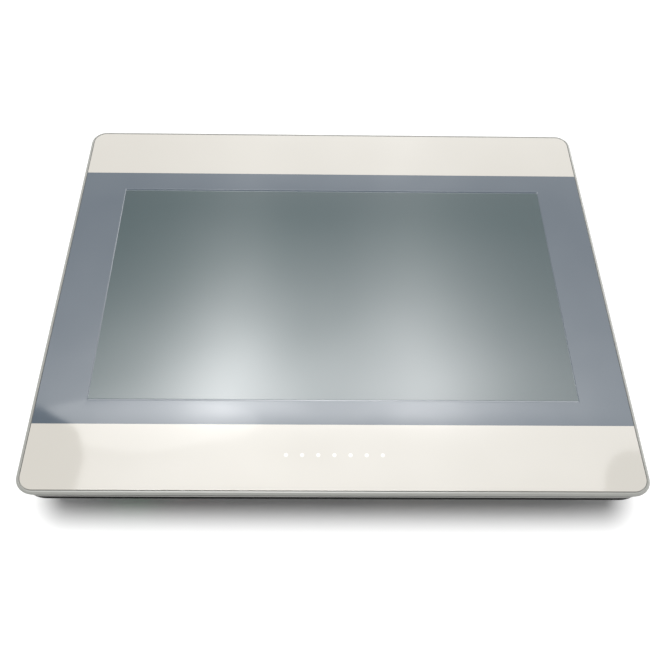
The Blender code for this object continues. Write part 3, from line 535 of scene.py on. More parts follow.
def build_cover():
    """Two tiers in one shell: the rear one holds the board, the front one fits the cut-out."""
    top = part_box("rear_cover")[1].z
    ledge = 16.4 * MM
    low_outside = [
        *arc((1.8 * MM, 1.8 * MM), 1.8 * MM, 270, 180, 6),
        *arc((-0.7 * MM, ledge - 0.7 * MM), 0.7 * MM, 0, 90, 4),
    ]
    rings = frame_rings(BACK_W, BACK_H, BACK_R, low_outside)
    upper = [
        *arc((1.0 * MM, ledge + 1.0 * MM), 1.0 * MM, 270, 180, 4),
        (0, top - 0.4 * MM), (0.4 * MM, top), (WALL - 0.4 * MM, top), (WALL, top - 0.4 * MM),
        (WALL, ledge + WALL),
    ]
    rings += frame_rings(TIER_W, TIER_H, TIER_R, upper)
    rings += frame_rings(BACK_W, BACK_H, BACK_R, [(WALL, ledge + WALL), (WALL, WALL)])
    shell = boolean(loft(rings), cover_cutters())
    finish = moulded("cover_plastic", (0.075, 0.078, 0.080), (0.092, 0.095, 0.097), 0.55, 2200, 0.00003)
    piece("cover_shell", shell, finish, stands_for=["rear_cover"])


# ---- finishes of the small parts -----------------------------------------------------------

def plated(name, dark, light, roughness=0.28, stretch=(1, 14, 1)):
    """Plated or brushed metal: drawn streaks and a few dull patches."""
    shade = Shader(name)
    streaks = shade.noise(420, 3, stretch=stretch)
    return shade.set(
        Base_Color=shade.mix(shade.noise(160, 3), dark, light),
        Metallic=1.0,
        Roughness=shade.uneven(roughness - 0.08, roughness + 0.12, 240, 4),
        Normal=shade.bump(streaks, 0.000006, 0.5),
    )


def nickel():
    return plated("nickel_plate", (0.56, 0.55, 0.51), (0.70, 0.68, 0.64))


def gold():
    return plated("gold_plate", (0.80, 0.55, 0.20), (0.92, 0.68, 0.30), 0.24)


def terminal_green():
    return moulded("terminal_plastic", (0.020, 0.215, 0.065), (0.028, 0.265, 0.085), 0.36, 3000, 0.00001)


def black_plastic():
    return moulded("black_plastic", (0.012, 0.012, 0.013), (0.022, 0.022, 0.023), 0.42, 3000, 0.000012)


def lens(name, body):
    """A small tinted light window, unlit."""
    shade = Shader(name)
    tint = shade.mix(shade.noise(700, 2), body, [0.6 * part for part in body])
    return shade.set(Base_Color=tint, Roughness=0.12, Subsurface_Weight=0.3, Coat_Weight=0.4)


# ---- connector row: shapes drawn face on, Z out of the bottom side --------------------------

def rounded_shape(corners, radius, z=0.0, steps=5):
    """Any convex anticlockwise polygon with its corners rounded."""
    points = []
    count = len(corners)
    for i, corner in enumerate(corners):
        here = Vector(corner)
        back = (Vector(corners[i - 1]) - here).normalized()
        on = (Vector(corners[(i + 1) % count]) - here).normalized()
        half = back.angle(on) / 2
        reach = radius / math.tan(half)
        centre = here + (back + on).normalized() * radius / math.sin(half)
        start = here + back * reach - centre
        sweep = math.pi - 2 * half
        for step in range(steps + 1):
            turn = Matrix.Rotation(sweep * step / steps, 2)
            spot = centre + turn @ start
            points.append((spot.x, spot.y, z))
    return points


def d_ring(width, height, z, radius=2.0 * MM):
    """The outline of a 9-way D shell, wide side up."""
    lean = height * math.tan(math.radians(10)) / 2
    half_w, half_h = width / 2, height / 2
    corners = [
        (half_w - lean, -half_h), (half_w + lean, half_h),
        (-half_w - lean, half_h), (lean - half_w, -half_h),
    ]
    return rounded_shape(corners, radius, z)


def contact_places():
    """The nine contacts of a D connector, five over four."""
    pitch, row = 2.77 * MM, 1.42 * MM
    upper = [((way - 2) * pitch, row) for way in range(5)]
    return upper + [((way - 1.5) * pitch, -row) for way in range(4)]


def spread(mesh, places):
    """Copies of one mesh at places in XY."""
    copies = []
    for x, y in places:
        copy = mesh.copy()
        copies.append(moved(copy, Matrix.Translation((x, y, 0))))
    return merged(*copies)


def build_com_port(number, x, has_pins):
    """A 9-way D connector: dimpled shell on its flange, insulator, and pins or sockets."""
    node = f"com_port_{number}"
    place = facing_down((x, -BACK_H / 2, 8.8 * MM))
    plate = loft(
        [rounded(30.8 * MM, 12.4 * MM, 1.2 * MM, z=z) for z in (-0.8 * MM, -0.15 * MM)]
        + [rounded(30.5 * MM, 12.1 * MM, 1.05 * MM)]
    )
    width, height, reach = 16.6 * MM, 8.3 * MM, 6 * MM
    profile = from_mm(
        (0.8, -0.2), (0.35, 0.1), (0.05, 0.4), (0, 0.9), (0, 5.8),
        (-0.1, 6.0), (-0.35, 6.0), (-0.45, 5.8), (-0.45, 0.2),
    )
    rings = [d_ring(width + 2 * out, height + 2 * out, z, 2.0 * MM + out) for out, z in profile]
    shell = loft(rings, closed=True)
    dimple = turned(from_mm((0.9, 0), (0.75, 0.2), (0.4, 0.32), (0, 0.36)), 20)
    dimples = []
    for side in (-1, 1):
        for step in (-1, 0, 1):
            spot = Matrix.Translation((step * 4.2 * MM, side * (height / 2 - 0.06 * MM), 3.4 * MM))
            dimples.append(moved(dimple.copy(), spot @ rotation(-90 * side, "X")))
    metal = moved(merged(plate, shell, *dimples), place)
    piece(f"{node}_shell", metal, nickel(), stands_for=[node])
    inner_w, inner_h = width - 0.9 * MM, height - 0.9 * MM
    front = 0.6 * MM if has_pins else reach - 0.35 * MM
    core = loft([
        d_ring(inner_w, inner_h, -9 * MM, 1.6 * MM),
        d_ring(inner_w, inner_h, front - 0.2 * MM, 1.6 * MM),
        d_ring(inner_w - 0.4 * MM, inner_h - 0.4 * MM, front, 1.4 * MM),
    ])
    if has_pins:
        contact = turned(from_mm((0.5, 0.3), (0.5, 4.7), (0.38, 5.05), (0.2, 5.2)), 16)
    else:
        bore = 0.62 * MM
        profile = [(bore, front - 4 * MM), (bore, front - 0.35 * MM), (0.95 * MM, front + 0.05 * MM)]
        core = boolean(core, spread(turned(profile, 16), contact_places()))
        sleeve = from_mm((0.6, -3.6), (0.6, -0.7), (0.42, -0.62), (0.42, -3.6))
        rings = [circle(radius, z=front + z, steps=16) for radius, z in sleeve]
        contact = loft(rings, closed=True)
    finish = moulded(f"{node}_plastic", (0.014, 0.016, 0.019), (0.022, 0.024, 0.028), 0.45, 2600, 0.00001)
    piece(f"{node}_core", moved(core, place), finish)
    piece(f"{node}_contacts", moved(spread(contact, contact_places()), place), gold())


def hex_ring(radius, z, steps=48):
    """A hexagon drawn with as many points as a circle, so the two can be joined."""
    points = []
    for step in range(steps):
        turn = math.tau * step / steps
        off = turn % math.radians(60) - math.radians(30)
        reach = radius * math.cos(math.radians(30)) / math.cos(off)
        points.append((reach * math.cos(turn), reach * math.sin(turn), z))
    return points


def build_jack_post(number):
    """Hexagonal post with a chamfered end and a threaded bore."""
    node = f"jack_post_{number}"
    low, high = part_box(node)
    place = facing_down(((low.x + high.x) / 2, high.y, (low.z + high.z) / 2))
    length = high.y - low.y
    flat = 2.9 * MM
    rings = [hex_ring(flat, 0), hex_ring(flat, length - 0.4 * MM)]
    rings.append(circle(flat * 0.86, z=length, steps=48))
    rings.append(circle(1.62 * MM, z=length, steps=48))
    rings.append(circle(1.36 * MM, z=length - 0.28 * MM, steps=48))
    for turn in range(6):
        base = length - (0.55 + 0.5 * turn) * MM
        rings.append(circle(1.5 * MM, z=base, steps=48))
        rings.append(circle(1.3 * MM, z=base - 0.25 * MM, steps=48))
    rings.append(circle(1.3 * MM, z=0.5 * MM, steps=48))
    rings.append(circle(0.2 * MM, z=0.4 * MM, steps=48))
    post = moved(loft(rings), place)
    piece(f"{node}_hex", post, nickel(), stands_for=[node])


def build_ethernet_jack():
    """Shield with side fingers, a stepped socket, eight sprung contacts and two light windows."""
    low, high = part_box("ethernet_jack")
    middle = (low.x + high.x) / 2
    sheet = 0.35 * MM
    shield = block(low, high, 0.4 * MM)
    hollow = block(low + Vector((sheet, -1 * MM, sheet)), high - Vector((sheet, 1.2 * MM, sheet)), 0.2 * MM)
    shield = boolean(shield, hollow)
    fingers = []
    for side in (-1, 1):
        for z in (5.6, 10.4):
            x = middle + side * (high.x - low.x) / 2
            near, far = (low.y + 0.8 * MM, z * MM), (low.y + 4.6 * MM, (z + 2.2) * MM)
            fingers.append(bar(x, 0.22 * MM, near, far, 0.2 * MM))
    piece("ethernet_shield", merged(shield, *fingers), nickel(), stands_for=["ethernet_jack"])
    gap = 0.05 * MM
    inset = sheet + gap
    insert = block(low + Vector((inset, 0.25 * MM, inset)), high - Vector((inset, 2 * MM, inset)), 0.15 * MM)
    roof = high.z - 2.2 * MM
    mouth = []
    for half, rise in ((5.9, 4.4), (3.1, 2.9), (1.9, 1.5)):
        # Each step's top is a hair higher than the last one's, so no two faces coincide
        near, far = (low.y - 1 * MM, low.z + rise * MM), (low.y + 12 * MM, roof + rise * 0.001 * MM)
        mouth.append(bar(middle, half * MM, near, far))
    for tool in mouth:
        insert = boolean(insert, tool)
    pockets = []
    lenses = {}
    for side, name in ((-1, "green"), (1, "amber")):
        centre = middle + side * 5.6 * MM
        near = Vector((centre - 1.45 * MM, low.y + 0.05 * MM, low.z + 0.75 * MM))
        far = Vector((centre + 1.45 * MM, low.y + 3 * MM, low.z + 3.1 * MM))
        gap_near, gap_far = Vector((0.08, 0.12, 0.08)) * MM, Vector((0.08, 0.08, 0.08)) * MM
        lenses[name] = block(near + gap_near, far - gap_far, 0.25 * MM)
        pockets.append(block(near - Vector((0, 1 * MM, 0)), far, 0.05 * MM))
    for tool in pockets:
        insert = boolean(insert, tool)
    piece("ethernet_insert", insert, black_plastic())
    contacts = []
    for way in range(8):
        x = middle + (way - 3.5) * 1.02 * MM
        wire = bar(0, 0.22 * MM, (0, -0.15 * MM), (7.6 * MM, 0.15 * MM))
        root = Matrix.Translation((x, low.y + 2.2 * MM, roof - 0.25 * MM))
        contacts.append(moved(wire, root @ rotation(-24, "X")))
        near, far = (low.y + 0.9 * MM, roof - 0.35 * MM), (low.y + 2.5 * MM, roof - 0.05 * MM)
        contacts.append(bar(x, 0.22 * MM, near, far))
    piece("ethernet_contacts", merged(*contacts), gold())
    tints = {"green": (0.10, 0.42, 0.10), "amber": (0.62, 0.34, 0.05)}
    for name, mesh in lenses.items():
        piece(f"ethernet_light_{name}", mesh, lens(f"light_{name}", tints[name]))


def build_usb_port(node, corner, tongue_w, tongue_t, tongue_finish, ways, pitch, slim=None):
    """Sheet shell with a rolled mouth, a contact tongue and its gold strips."""
    low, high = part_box(node)
    length = high.y - low.y
    half_w, half_h = (high.x - low.x) / 2, (high.z - low.z) / 2
    place = facing_down(((low.x + high.x) / 2, high.y, (low.z + high.z) / 2))
    sheet = 0.32 * MM

    def outline(inset, z):
        low_half = (slim if slim else half_w) - inset
        points = [(low_half, inset - half_h), (half_w - inset, half_h - inset)]
        if slim:
            points.insert(1, (half_w - inset, -0.15 * half_h))
        points += [(-across, up) for across, up in reversed(points)]
        return rounded_shape(points, max(corner - inset, 0.15 * MM), z)

    rings = [
        outline(sheet, 1.2 * MM),
        outline(sheet, length - 0.5 * MM),
        outline(sheet * 0.7, length - 0.12 * MM),
        outline(sheet * 0.4, length),
        outline(0, length - 0.12 * MM),
        outline(0, 0.2 * MM),
        outline(0.2 * MM, 0),
        outline(sheet + 0.1 * MM, 0),
        outline(sheet + 0.1 * MM, 1.2 * MM),
    ]
    shell = loft(rings, closed=True)
    rear = loft([outline(sheet - 0.05 * MM, 0.1 * MM), outline(sheet - 0.05 * MM, 1.1 * MM)])
    piece(f"{node}_shell", moved(merged(shell, rear), place), nickel(), stands_for=[node])
    under = half_h - 0.5 * MM - 0.6 * MM
    tongue_front = length - 1.2 * MM
    tongue = bar(0, tongue_w / 2, (under - tongue_t, 0.6 * MM), (under, tongue_front), 0.25 * MM)
    piece(f"{node}_tongue", moved(tongue, place), tongue_finish)
    strips = []
    near = (under - tongue_t - 0.06 * MM, 1.5 * MM)
    far = (under - tongue_t + 0.1 * MM, length - 1.9 * MM)
    for way in range(ways):
        strips.append(bar((way - (ways - 1) / 2) * pitch, 0.18 * pitch, near, far, 0.05 * MM))
    piece(f"{node}_contacts", moved(merged(*strips), place), gold())


def build_dip_switch():
    """Red body with four slots and a pip that marks way 1, and a tapered lever in each slot."""
    low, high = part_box("dip_switch_body")
    body = block(low, high, 0.25 * MM)
    slots = []
    for number in range(1, 5):
        near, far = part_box(f"dip_slider_{number}")
        middle = (near.x + far.x) / 2
        near, far = (low.y - 1 * MM, 10.4 * MM), (low.y + 3 * MM, 13.9 * MM)
        slots.append(bar(middle, 0.8 * MM, near, far, 0.12 * MM))
    near = (low.x + 0.5 * MM, low.y - 1 * MM, 9.55 * MM)
    slots.append(block(near, (low.x + 1.0 * MM, low.y + 0.15 * MM, 10.05 * MM)))
    body = boolean(body, merged(*slots))
    finish = moulded("dip_plastic", (0.40, 0.022, 0.018), (0.50, 0.030, 0.024), 0.34, 3000, 0.000008)
    piece("dip_body", body, finish, stands_for=["dip_switch_body"])
    white = moulded("slider_plastic", (0.70, 0.70, 0.67), (0.78, 0.78, 0.75), 0.38, 3600, 0.000006)
    for number in range(1, 5):
        node = f"dip_slider_{number}"
        near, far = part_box(node)
        half = (far.x - near.x) / 2
        middle, centre = (near.x + far.x) / 2, (near.z + far.z) / 2
        base = block((near.x, near.y + 1.1 * MM, near.z), far, 0.1 * MM)
        taper = ((0.96, 1.3), (0.92, 0.3), (0.8, 0.06), (0.6, 0.0))
        rings = []
        for share, deep in taper:
            wide, tall = 2 * half * share, (far.z - near.z) * share
            rings.append(rounded(wide, tall, 0.2 * MM, (middle, -centre), -near.y - deep * MM, 3))
        finger = moved(loft(rings), rotation(90, "X") @ Matrix.Scale(-1, 4, (0, 1, 0)))
        finger.flip_normals()
        piece(f"{node}_cap", merged(base, finger), white, node, [node])


def build_reset_switch():
    """Tactile switch body with a bore, and its dished round button."""
    low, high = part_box("reset_switch_body")
    x, z = (low.x + high.x) / 2, (low.z + high.z) / 2
    body = block(low, high, 0.3 * MM)
    bore = moved(turned(from_mm((1.8, -1), (1.8, 3.2)), 32), facing_down((x, low.y + 2.2 * MM, z)))
    piece("reset_body", boolean(body, bore), black_plastic(), stands_for=["reset_switch_body"])
    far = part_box("reset_button")[1]
    edge = [(1.5, 0), (1.5, 4.55), (1.42, 4.8), (1.25, 4.95)]
    dish = [(1.0, 5.0), (0.8, 4.9), (0.4, 4.78), (0.05, 4.75)]
    button = moved(turned(from_mm(*edge, *dish)), facing_down((x, far.y, z)))
    grey = moulded("button_plastic", (0.045, 0.047, 0.05), (0.06, 0.062, 0.065), 0.4, 3000, 0.00001)
    piece("reset_cap", button, grey, "reset_button", ["reset_button"])


def build_power_header():
    """The open shroud on the board with its three pins; the plug's nose goes inside."""
    low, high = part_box("power_header")
    wall = 1.2 * MM
    side = 0.9 * MM
    body = block(low, high, 0.3 * MM)
    near = (low.x + side, low.y - 1 * MM, low.z + wall)
    far = (high.x - side, high.y - 2.5 * MM, high.z - wall)
    body = boolean(body, block(near, far, 0.25 * MM))
    ribs = []
    for x in TERMINAL_X:
        near = (low.y + 0.4 * MM, low.z + wall - 0.2 * MM)
        ribs.append(bar(x, 0.4 * MM, near, (high.y - 3 * MM, low.z + wall + 0.22 * MM)))
    piece("header_body", merged(body, *ribs), terminal_green(), stands_for=["power_header"])
    pins = []
    middle = (low.z + high.z) / 2
    for x in TERMINAL_X:
        profile = [(0, high.y - 2 * MM), (0, low.y + 1.4 * MM), (0.22 * MM, low.y + 1.0 * MM)]
        rings = []
        for inset, y in profile:
            size = 1.0 * MM - 2 * inset
            rings.append(rounded(size, size, 0.08 * MM, z=-y, steps=2))
        pins.append(moved(loft(rings), facing_down((x, 0, middle))))
    piece("header_pins", merged(*pins), nickel())


def build_power_plug():
    """Screw terminal plug: funnels in front, screw wells below, pin sockets behind, grooved ends."""
    low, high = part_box("power_plug")
    body_back = -88.3 * MM
    middle = 9.8 * MM
    body = block((low.x, low.y, low.z), (high.x, body_back, high.z), 0.35 * MM)
    nose = block((low.x, body_back - 1 * MM, middle - 4 * MM), (high.x, high.y, middle + 4 * MM), 0.3 * MM)
    body = boolean(body, nose, "UNION")
    tools = []
    screw_low, screw_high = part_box("terminal_screw_1")
    screw_y = (screw_low.y + screw_high.y) / 2
    for x in TERMINAL_X:
        funnel = turned(from_mm((1.45, -6), (1.55, -1.0), (1.95, 0.1)), 32)
        tools.append(moved(funnel, facing_down((x, low.y, middle + 2.3 * MM))))
        profile = [(2.30 * MM, low.z - 0.1 * MM), (2.12 * MM, low.z + 0.4 * MM), (2.12 * MM, 8.0 * MM)]
        tools.append(moved(turned(profile, 32), Matrix.Translation((x, screw_y, 0))))
        near, far = (body_back, middle - 0.8 * MM), (high.y + 1 * MM, middle + 0.8 * MM)
        tools.append(bar(x, 0.8 * MM, near, far, 0.15 * MM))
    for step in (-0.5, 0.5):
        x = TERMINAL_X[1] + step * TERMINAL_PITCH
        near, far = (low.y - 1 * MM, low.z - 1 * MM), (low.y + 0.35 * MM, high.z + 1 * MM)
        tools.append(bar(x, 0.2 * MM, near, far, 0.05 * MM))
    for side in (low.x, high.x):
        for step in range(4):
            y = low.y + (1.6 + 1.2 * step) * MM
            far = (y + 0.5 * MM, high.z - 2 * MM)
            tools.append(bar(side, 0.3 * MM, (y, low.z + 2 * MM), far))
    body = boolean(body, merged(*tools))
    piece("plug_body", body, terminal_green(), "power_plug", ["power_plug"])
    cages = []
    for x in TERMINAL_X:
        sleeve = from_mm((1.42, -3.0), (1.42, -1.6), (1.2, -1.5), (1.2, -3.0))
        rings = [circle(radius, z=z, steps=24) for radius, z in sleeve]
        cages.append(moved(loft(rings, closed=True), facing_down((x, low.y, middle + 2.3 * MM))))
    piece("plug_clamps", merged(*cages), nickel(), "power_plug")
    for number, x in enumerate(TERMINAL_X, 1):
        build_terminal_screw(number, x, screw_y)


def build_terminal_screw(number, x, y):
    """Slotted cheese head, slightly domed, with turned rings on its shank."""
    node = f"terminal_screw_{number}"
    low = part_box(node)[0]
    dome = [(0.05, 0.0), (1.1, 0.03), (1.5, 0.10), (1.68, 0.22), (1.75, 0.4)]
    head = dome + [(1.75, 1.4), (1.65, 1.5), (1.15, 1.5)]
    threads = []
    for turn in range(4):
        threads += [(1.0, 1.6 + 0.45 * turn), (1.2, 1.8 + 0.45 * turn)]
    screw = turned(from_mm(*head, *threads, (1.0, 3.45), (0.05, 3.5)))
    slot = block((-2 * MM, -0.32 * MM, -1 * MM), (2 * MM, 0.32 * MM, 0.7 * MM), 0.02 * MM)
    screw = moved(boolean(screw, slot), Matrix.Translation((x, y, low.z)))
    piece(f"{node}_head", screw, nickel(), node, [node])


# ---- CAD parts kept as they are ------------------------------------------------------------

def laminate():
    """Green solder mask over copper tracks, with tinned pads."""
    shade = Shader("laminate")
    tracks = shade.add(
        "ShaderNodeTexBrick",
        {"Vector": shade.place, "Scale": 260.0, "Mortar Size": 0.12, "Mortar Smooth": 0.3,
         "Color1": (0, 0, 0), "Color2": (0.35, 0.35, 0.35), "Mortar": (1, 1, 1)},
    ).outputs["Color"]
    mask = shade.mix(tracks, (0.012, 0.105, 0.045), (0.025, 0.17, 0.07))
    tinned = shade.math("LESS_THAN", shade.cells(330), 0.13)
    return shade.set(
        Base_Color=shade.mix(tinned, mask, (0.62, 0.60, 0.55)),
        Metallic=shade.math("MULTIPLY", tinned, 0.8),
        Roughness=shade.uneven(0.25, 0.4, 200),
        Normal=shade.bump(tracks, 0.00003, 0.6),
    )


def zinc_sheet():
    """Galvanised sheet with its crystal spangle."""
    shade = Shader("zinc_sheet")
    level = shade.add("ShaderNodeSeparateColor", {"Color": shade.cells(160, "Color")}).outputs[0]
    return shade.set(
        Base_Color=shade.mix(level, (0.48, 0.50, 0.51), (0.62, 0.63, 0.64)),
        Metallic=1.0,
        Roughness=shade.span(level, 0.32, 0.48),
    )


def blank_label():
    """Silver foil with a plain printed frame and two empty fields."""
    shade = Shader("label_foil")
    parts = shade.add("ShaderNodeSeparateXYZ", {"Vector": shade.place})
    x, y = parts.outputs[0], parts.outputs[1]

    def line(value, at, width=0.35 * MM):
        return shade.math("LESS_THAN", shade.math("ABSOLUTE", shade.math("SUBTRACT", value, at)), width)

    far_x, far_y = shade.math("ABSOLUTE", x), shade.math("ABSOLUTE", y)
    inside_x = shade.math("LESS_THAN", far_x, 42.3 * MM)
    inside_y = shade.math("LESS_THAN", far_y, 20.3 * MM)
    inside = shade.math("MULTIPLY", inside_x, inside_y)
    lines = shade.math("MAXIMUM", line(far_x, 42 * MM), line(far_y, 20 * MM))
    lines = shade.math("MAXIMUM", lines, line(y, 6 * MM))
    lines = shade.math("MULTIPLY", lines, inside)
    foil = shade.mix(shade.noise(90, 3), (0.66, 0.66, 0.65), (0.74, 0.74, 0.73))
    return shade.set(
        Base_Color=shade.mix(lines, foil, (0.06, 0.06, 0.065)),
        Roughness=shade.uneven(0.35, 0.5, 500, 3),
        Metallic=0.3,
    )


def ribbon():
    """White flat cable with its embedded conductors."""
    shade = Shader("ribbon_cable")
    wave = shade.stripes(160.0)
    return shade.set(
        Base_Color=shade.mix(wave, (0.70, 0.71, 0.70), (0.78, 0.79, 0.78)),
        Roughness=0.38,
        Normal=shade.bump(wave, 0.00004, 0.8),
    )


def tail_film():
    """Amber polyimide with printed silver tracks."""
    shade = Shader("tail_film")
    track = shade.step(shade.stripes(90.0), 0.6, 0.75)
    return shade.set(
        Base_Color=shade.mix(track, (0.42, 0.17, 0.035), (0.50, 0.44, 0.36)),
        Roughness=shade.span(track, 0.2, 0.45),
    )


def clear_sheet(name, tint, roughness):
    """Glossy sheet with a fine raster of slightly lighter dots."""
    shade = Shader(name)
    dots = shade.step(shade.cells(700), 0.2, 0.3)
    lighter = [min(1.0, 1.2 * part) for part in tint]
    return shade.set(
        Base_Color=shade.mix(dots, lighter, tint),
        Roughness=shade.uneven(roughness, roughness + 0.08, 40),
        Coat_Weight=0.3,
    )


def capacitor_can():
    """Aluminium can with a dark polarity stripe."""
    shade = Shader("capacitor_can")
    parts = shade.add("ShaderNodeSeparateXYZ", {"Vector": shade.place})
    stripe = shade.math("LESS_THAN", parts.outputs[0], -93.2 * MM)
    return shade.set(
        Base_Color=shade.mix(stripe, (0.66, 0.67, 0.68), (0.03, 0.03, 0.035)),
        Metallic=shade.math("SUBTRACT", 1.0, stripe),
        Roughness=shade.uneven(0.24, 0.36, 300, 3),
    )


def kept_finishes():
    """Each CAD part that stays, by the finish it gets."""
    screws = [f"{kind}_screw_{number}" for kind in ("board", "bracket", "cover") for number in range(1, 5)]
    epoxy = moulded("chip_epoxy", (0.016, 0.016, 0.017), (0.03, 0.03, 0.031), 0.5, 4000, 0.00001)
    ferrite = moulded("ferrite", (0.05, 0.05, 0.052), (0.075, 0.075, 0.077), 0.6, 1800, 0.00004)
    return (
        (laminate(), ["main_board"]),
        (zinc_sheet(), ["display_bracket", "lcd_frame", "lcd_rear_tray"]),
        (blank_label(), ["rating_label"]),
        (ribbon(), ["lcd_cable"]),
        (tail_film(), ["touch_tail"]),
        (clear_sheet("touch_glass", (0.10, 0.11, 0.12), 0.08), ["touch_panel"]),
        (clear_sheet("display_cell", (0.030, 0.036, 0.042), 0.22), ["lcd_cell"]),
        (clear_sheet("light_guide_acrylic", (0.72, 0.75, 0.76), 0.10), ["light_guide"]),
        (capacitor_can(), ["input_capacitor"]),
        (seal_foam(), ["touch_foam_frame"]),
        (epoxy, ["processor", "memory_chip", "flash_chip"]),
        (ferrite, ["power_inductor"]),
        (black_plastic(), ["coin_cell_holder", "buzzer"]),
        (plated("anodised", (0.30, 0.31, 0.32), (0.38, 0.39, 0.40), 0.38), ["heat_sink"]),
        (plated("steel_can", (0.60, 0.60, 0.60), (0.72, 0.72, 0.71), 0.22), ["coin_cell", "fuse"]),
        (plated("zinc_screw", (0.50, 0.51, 0.54), (0.64, 0.65, 0.67), 0.3, (1, 1, 1)), screws),
    )


def keep(node, finish):
    """A CAD part as it is, with welded, slightly broken edges and a new finish."""
    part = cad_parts[node]
    part.data.materials.clear()
    part.data.materials.append(finish)
    weld = part.modifiers.new("weld", "WELD")
    weld.merge_threshold = 0.01 * MM
    bevel = part.modifiers.new("edges", "BEVEL")
    bevel.width = 0.08 * MM
    bevel.segments = 2
    bevel.limit_method = "ANGLE"
    bevel.angle_limit = math.radians(40)
    bevel.harden_normals = True


build_cover()
build_com_port(1, 38 * MM, True)
build_com_port(2, 80 * MM, False)
for post_number in range(1, 5):
    build_jack_post(post_number)
build_ethernet_jack()
cream = moulded("tongue_plastic", (0.62, 0.62, 0.58), (0.70, 0.70, 0.66), 0.4, 3000, 0.000008)
build_usb_port("usb_host_port", 0.45 * MM, 11.1 * MM, 1.84 * MM, cream, 4, 2.3 * MM)
build_usb_port("usb_client_port", 0.5 * MM, 4.6 * MM, 0.9 * MM, black_plastic(), 5, 0.8 * MM, slim=3.0 * MM)
build_dip_switch()
build_reset_switch()
build_power_header()
build_power_plug()
for shared_finish, kept_nodes in kept_finishes():
    for kept_node in kept_nodes:
        keep(kept_node, shared_finish)


# ---- studio --------------------------------------------------------------------------------

SOFTBOX_SIZE = 1.6
SOFTBOX_POWER = 85.0
# Low enough in Y that the film doesn't mirror it to the camera
SOFTBOX_PLACE = (-0.13, -0.05, 2.6)
AMBIENT = 0.31
BACKDROP = 1.0

# The room that glossy surfaces mirror, as a ceiling seen straight up. Places on it are tangents:
# across is X / Z and along is Y / Z of the ray's direction.
CEILING_GLOW = 0.60
# Each lamp: strength, middle across, spread across, middle along, spread before it, spread after it
CEILING_LAMPS = (
    (2.7, 0.03, 0.55, 0.45, 0.25, 0.20),
    (10.5, -0.13, 0.085, 0.480, 0.025, 0.14),
    (7.2, 0.155, 0.105, 0.480, 0.025, 0.19),
    (1.7, -0.10, 0.24, 0.375, 0.10, 0.04),
    (11.0, 0.02, 0.35, 1.22, 0.06, 0.30),
    (14.0, 1.35, 0.25, 1.10, 0.22, 0.30),
)
# A darker stretch between the lamps: how much darker, then its place and spread as for a lamp
CEILING_SHADE = (0.40, 0.03, 0.35, 0.875, 0.07, 0.03)
# One brighter panel: strength, then middle and half size across and along
CEILING_PANEL = (1.6, -0.25, 0.455, 0.17, 0.045)
# What the ceiling's reflection leaves out near the lower corners: middle and half size of each
CEILING_HOLES = ((-0.42, 0.385, 0.093, 0.093), (0.460, 0.350, 0.055, 0.060))
# The ceiling ends beyond this ellipse, and before this distance along
CEILING_EDGE = (0.35, 1.1, 1.5, 1.0)
CEILING_START = (0.33, 0.35)

# The camera that was fitted to the photograph
LENS, SENSOR = 41.26, 36
CAMERA_PLACE = Vector((-8.5, -211.5, 340.2)) * MM
CAMERA_TARGET = Vector((-4.0, -22.4, 36.4)) * MM
CAMERA_ROLL = math.radians(1.51)


def build_floor():
    """A pale sheet that only shows its upper side and fades into the white room far away."""
    reach = 1.5
    mesh = bpy.data.meshes.new("floor")
    bm = bmesh.new()
    bmesh.ops.create_grid(bm, x_segments=8, y_segments=8, size=reach)
    bm.to_mesh(mesh)
    bm.free()
    shade = Shader("floor_paper")
    tint = shade.mix(shade.noise(3), (0.925, 0.925, 0.922), (0.935, 0.935, 0.932))
    shade.set(Base_Color=tint, Roughness=0.9, Specular_IOR_Level=0.1)
    floor = bpy.data.objects.new("floor", mesh)
    floor.location.z = -0.05 * MM
    mesh.materials.append(shade.material)
    bpy.context.scene.collection.objects.link(floor)
    clear = shade.add("ShaderNodeBsdfTransparent").outputs[0]
    place = shade.add("ShaderNodeNewGeometry").outputs
    distance = shade.add("ShaderNodeVectorMath", {0: place["Position"]}, operation="LENGTH")
    fade = shade.add(
        "ShaderNodeMapRange",
        {"Value": distance.outputs["Value"], "From Min": 0.4, "From Max": 1.3},
        interpolation_type="SMOOTHSTEP",
    )
    # Rays that leave the back of the case pass through, so that side isn't lost in the dark
    step_off = shade.math("LESS_THAN", shade.add("ShaderNodeLightPath").outputs["Ray Length"], 3 * MM)
    gone = shade.math("MAXIMUM", fade.outputs[0], shade.math("MAXIMUM", place["Backfacing"], step_off))
    both = shade.add("ShaderNodeMixShader", {0: gone, 1: shade.principled.outputs[0], 2: clear})
    shade.put(shade.tree.nodes["Material Output"].inputs["Surface"], both.outputs[0])


def build_light():
    """One wide soft lamp nearly overhead. It lights the scene and the rounded edges mirror it."""
    lamp = bpy.data.lights.new("softbox", "AREA")
    lamp.shape = "DISK"
    lamp.size = SOFTBOX_SIZE
    lamp.energy = SOFTBOX_POWER
    source = bpy.data.objects.new("softbox", lamp)
    source.location = SOFTBOX_PLACE
    source.rotation_euler = (Vector((0, 0, 0.03)) - source.location).to_track_quat("-Z", "Y").to_euler()
    source.visible_camera = False
    bpy.context.scene.collection.objects.link(source)


def bell(room, value, centre, before, after):
    """Height 1 at the centre, with a long tail on each side."""
    offset = room.math("SUBTRACT", value, centre)
    below = room.math("DIVIDE", room.math("MINIMUM", offset, 0.0), before)
    above = room.math("DIVIDE", room.math("MAXIMUM", offset, 0.0), after)
    squares = room.math("ADD", room.math("MULTIPLY", below, below), room.math("MULTIPLY", above, above))
    return room.math("DIVIDE", 1.0, room.math("ADD", squares, 1.0))


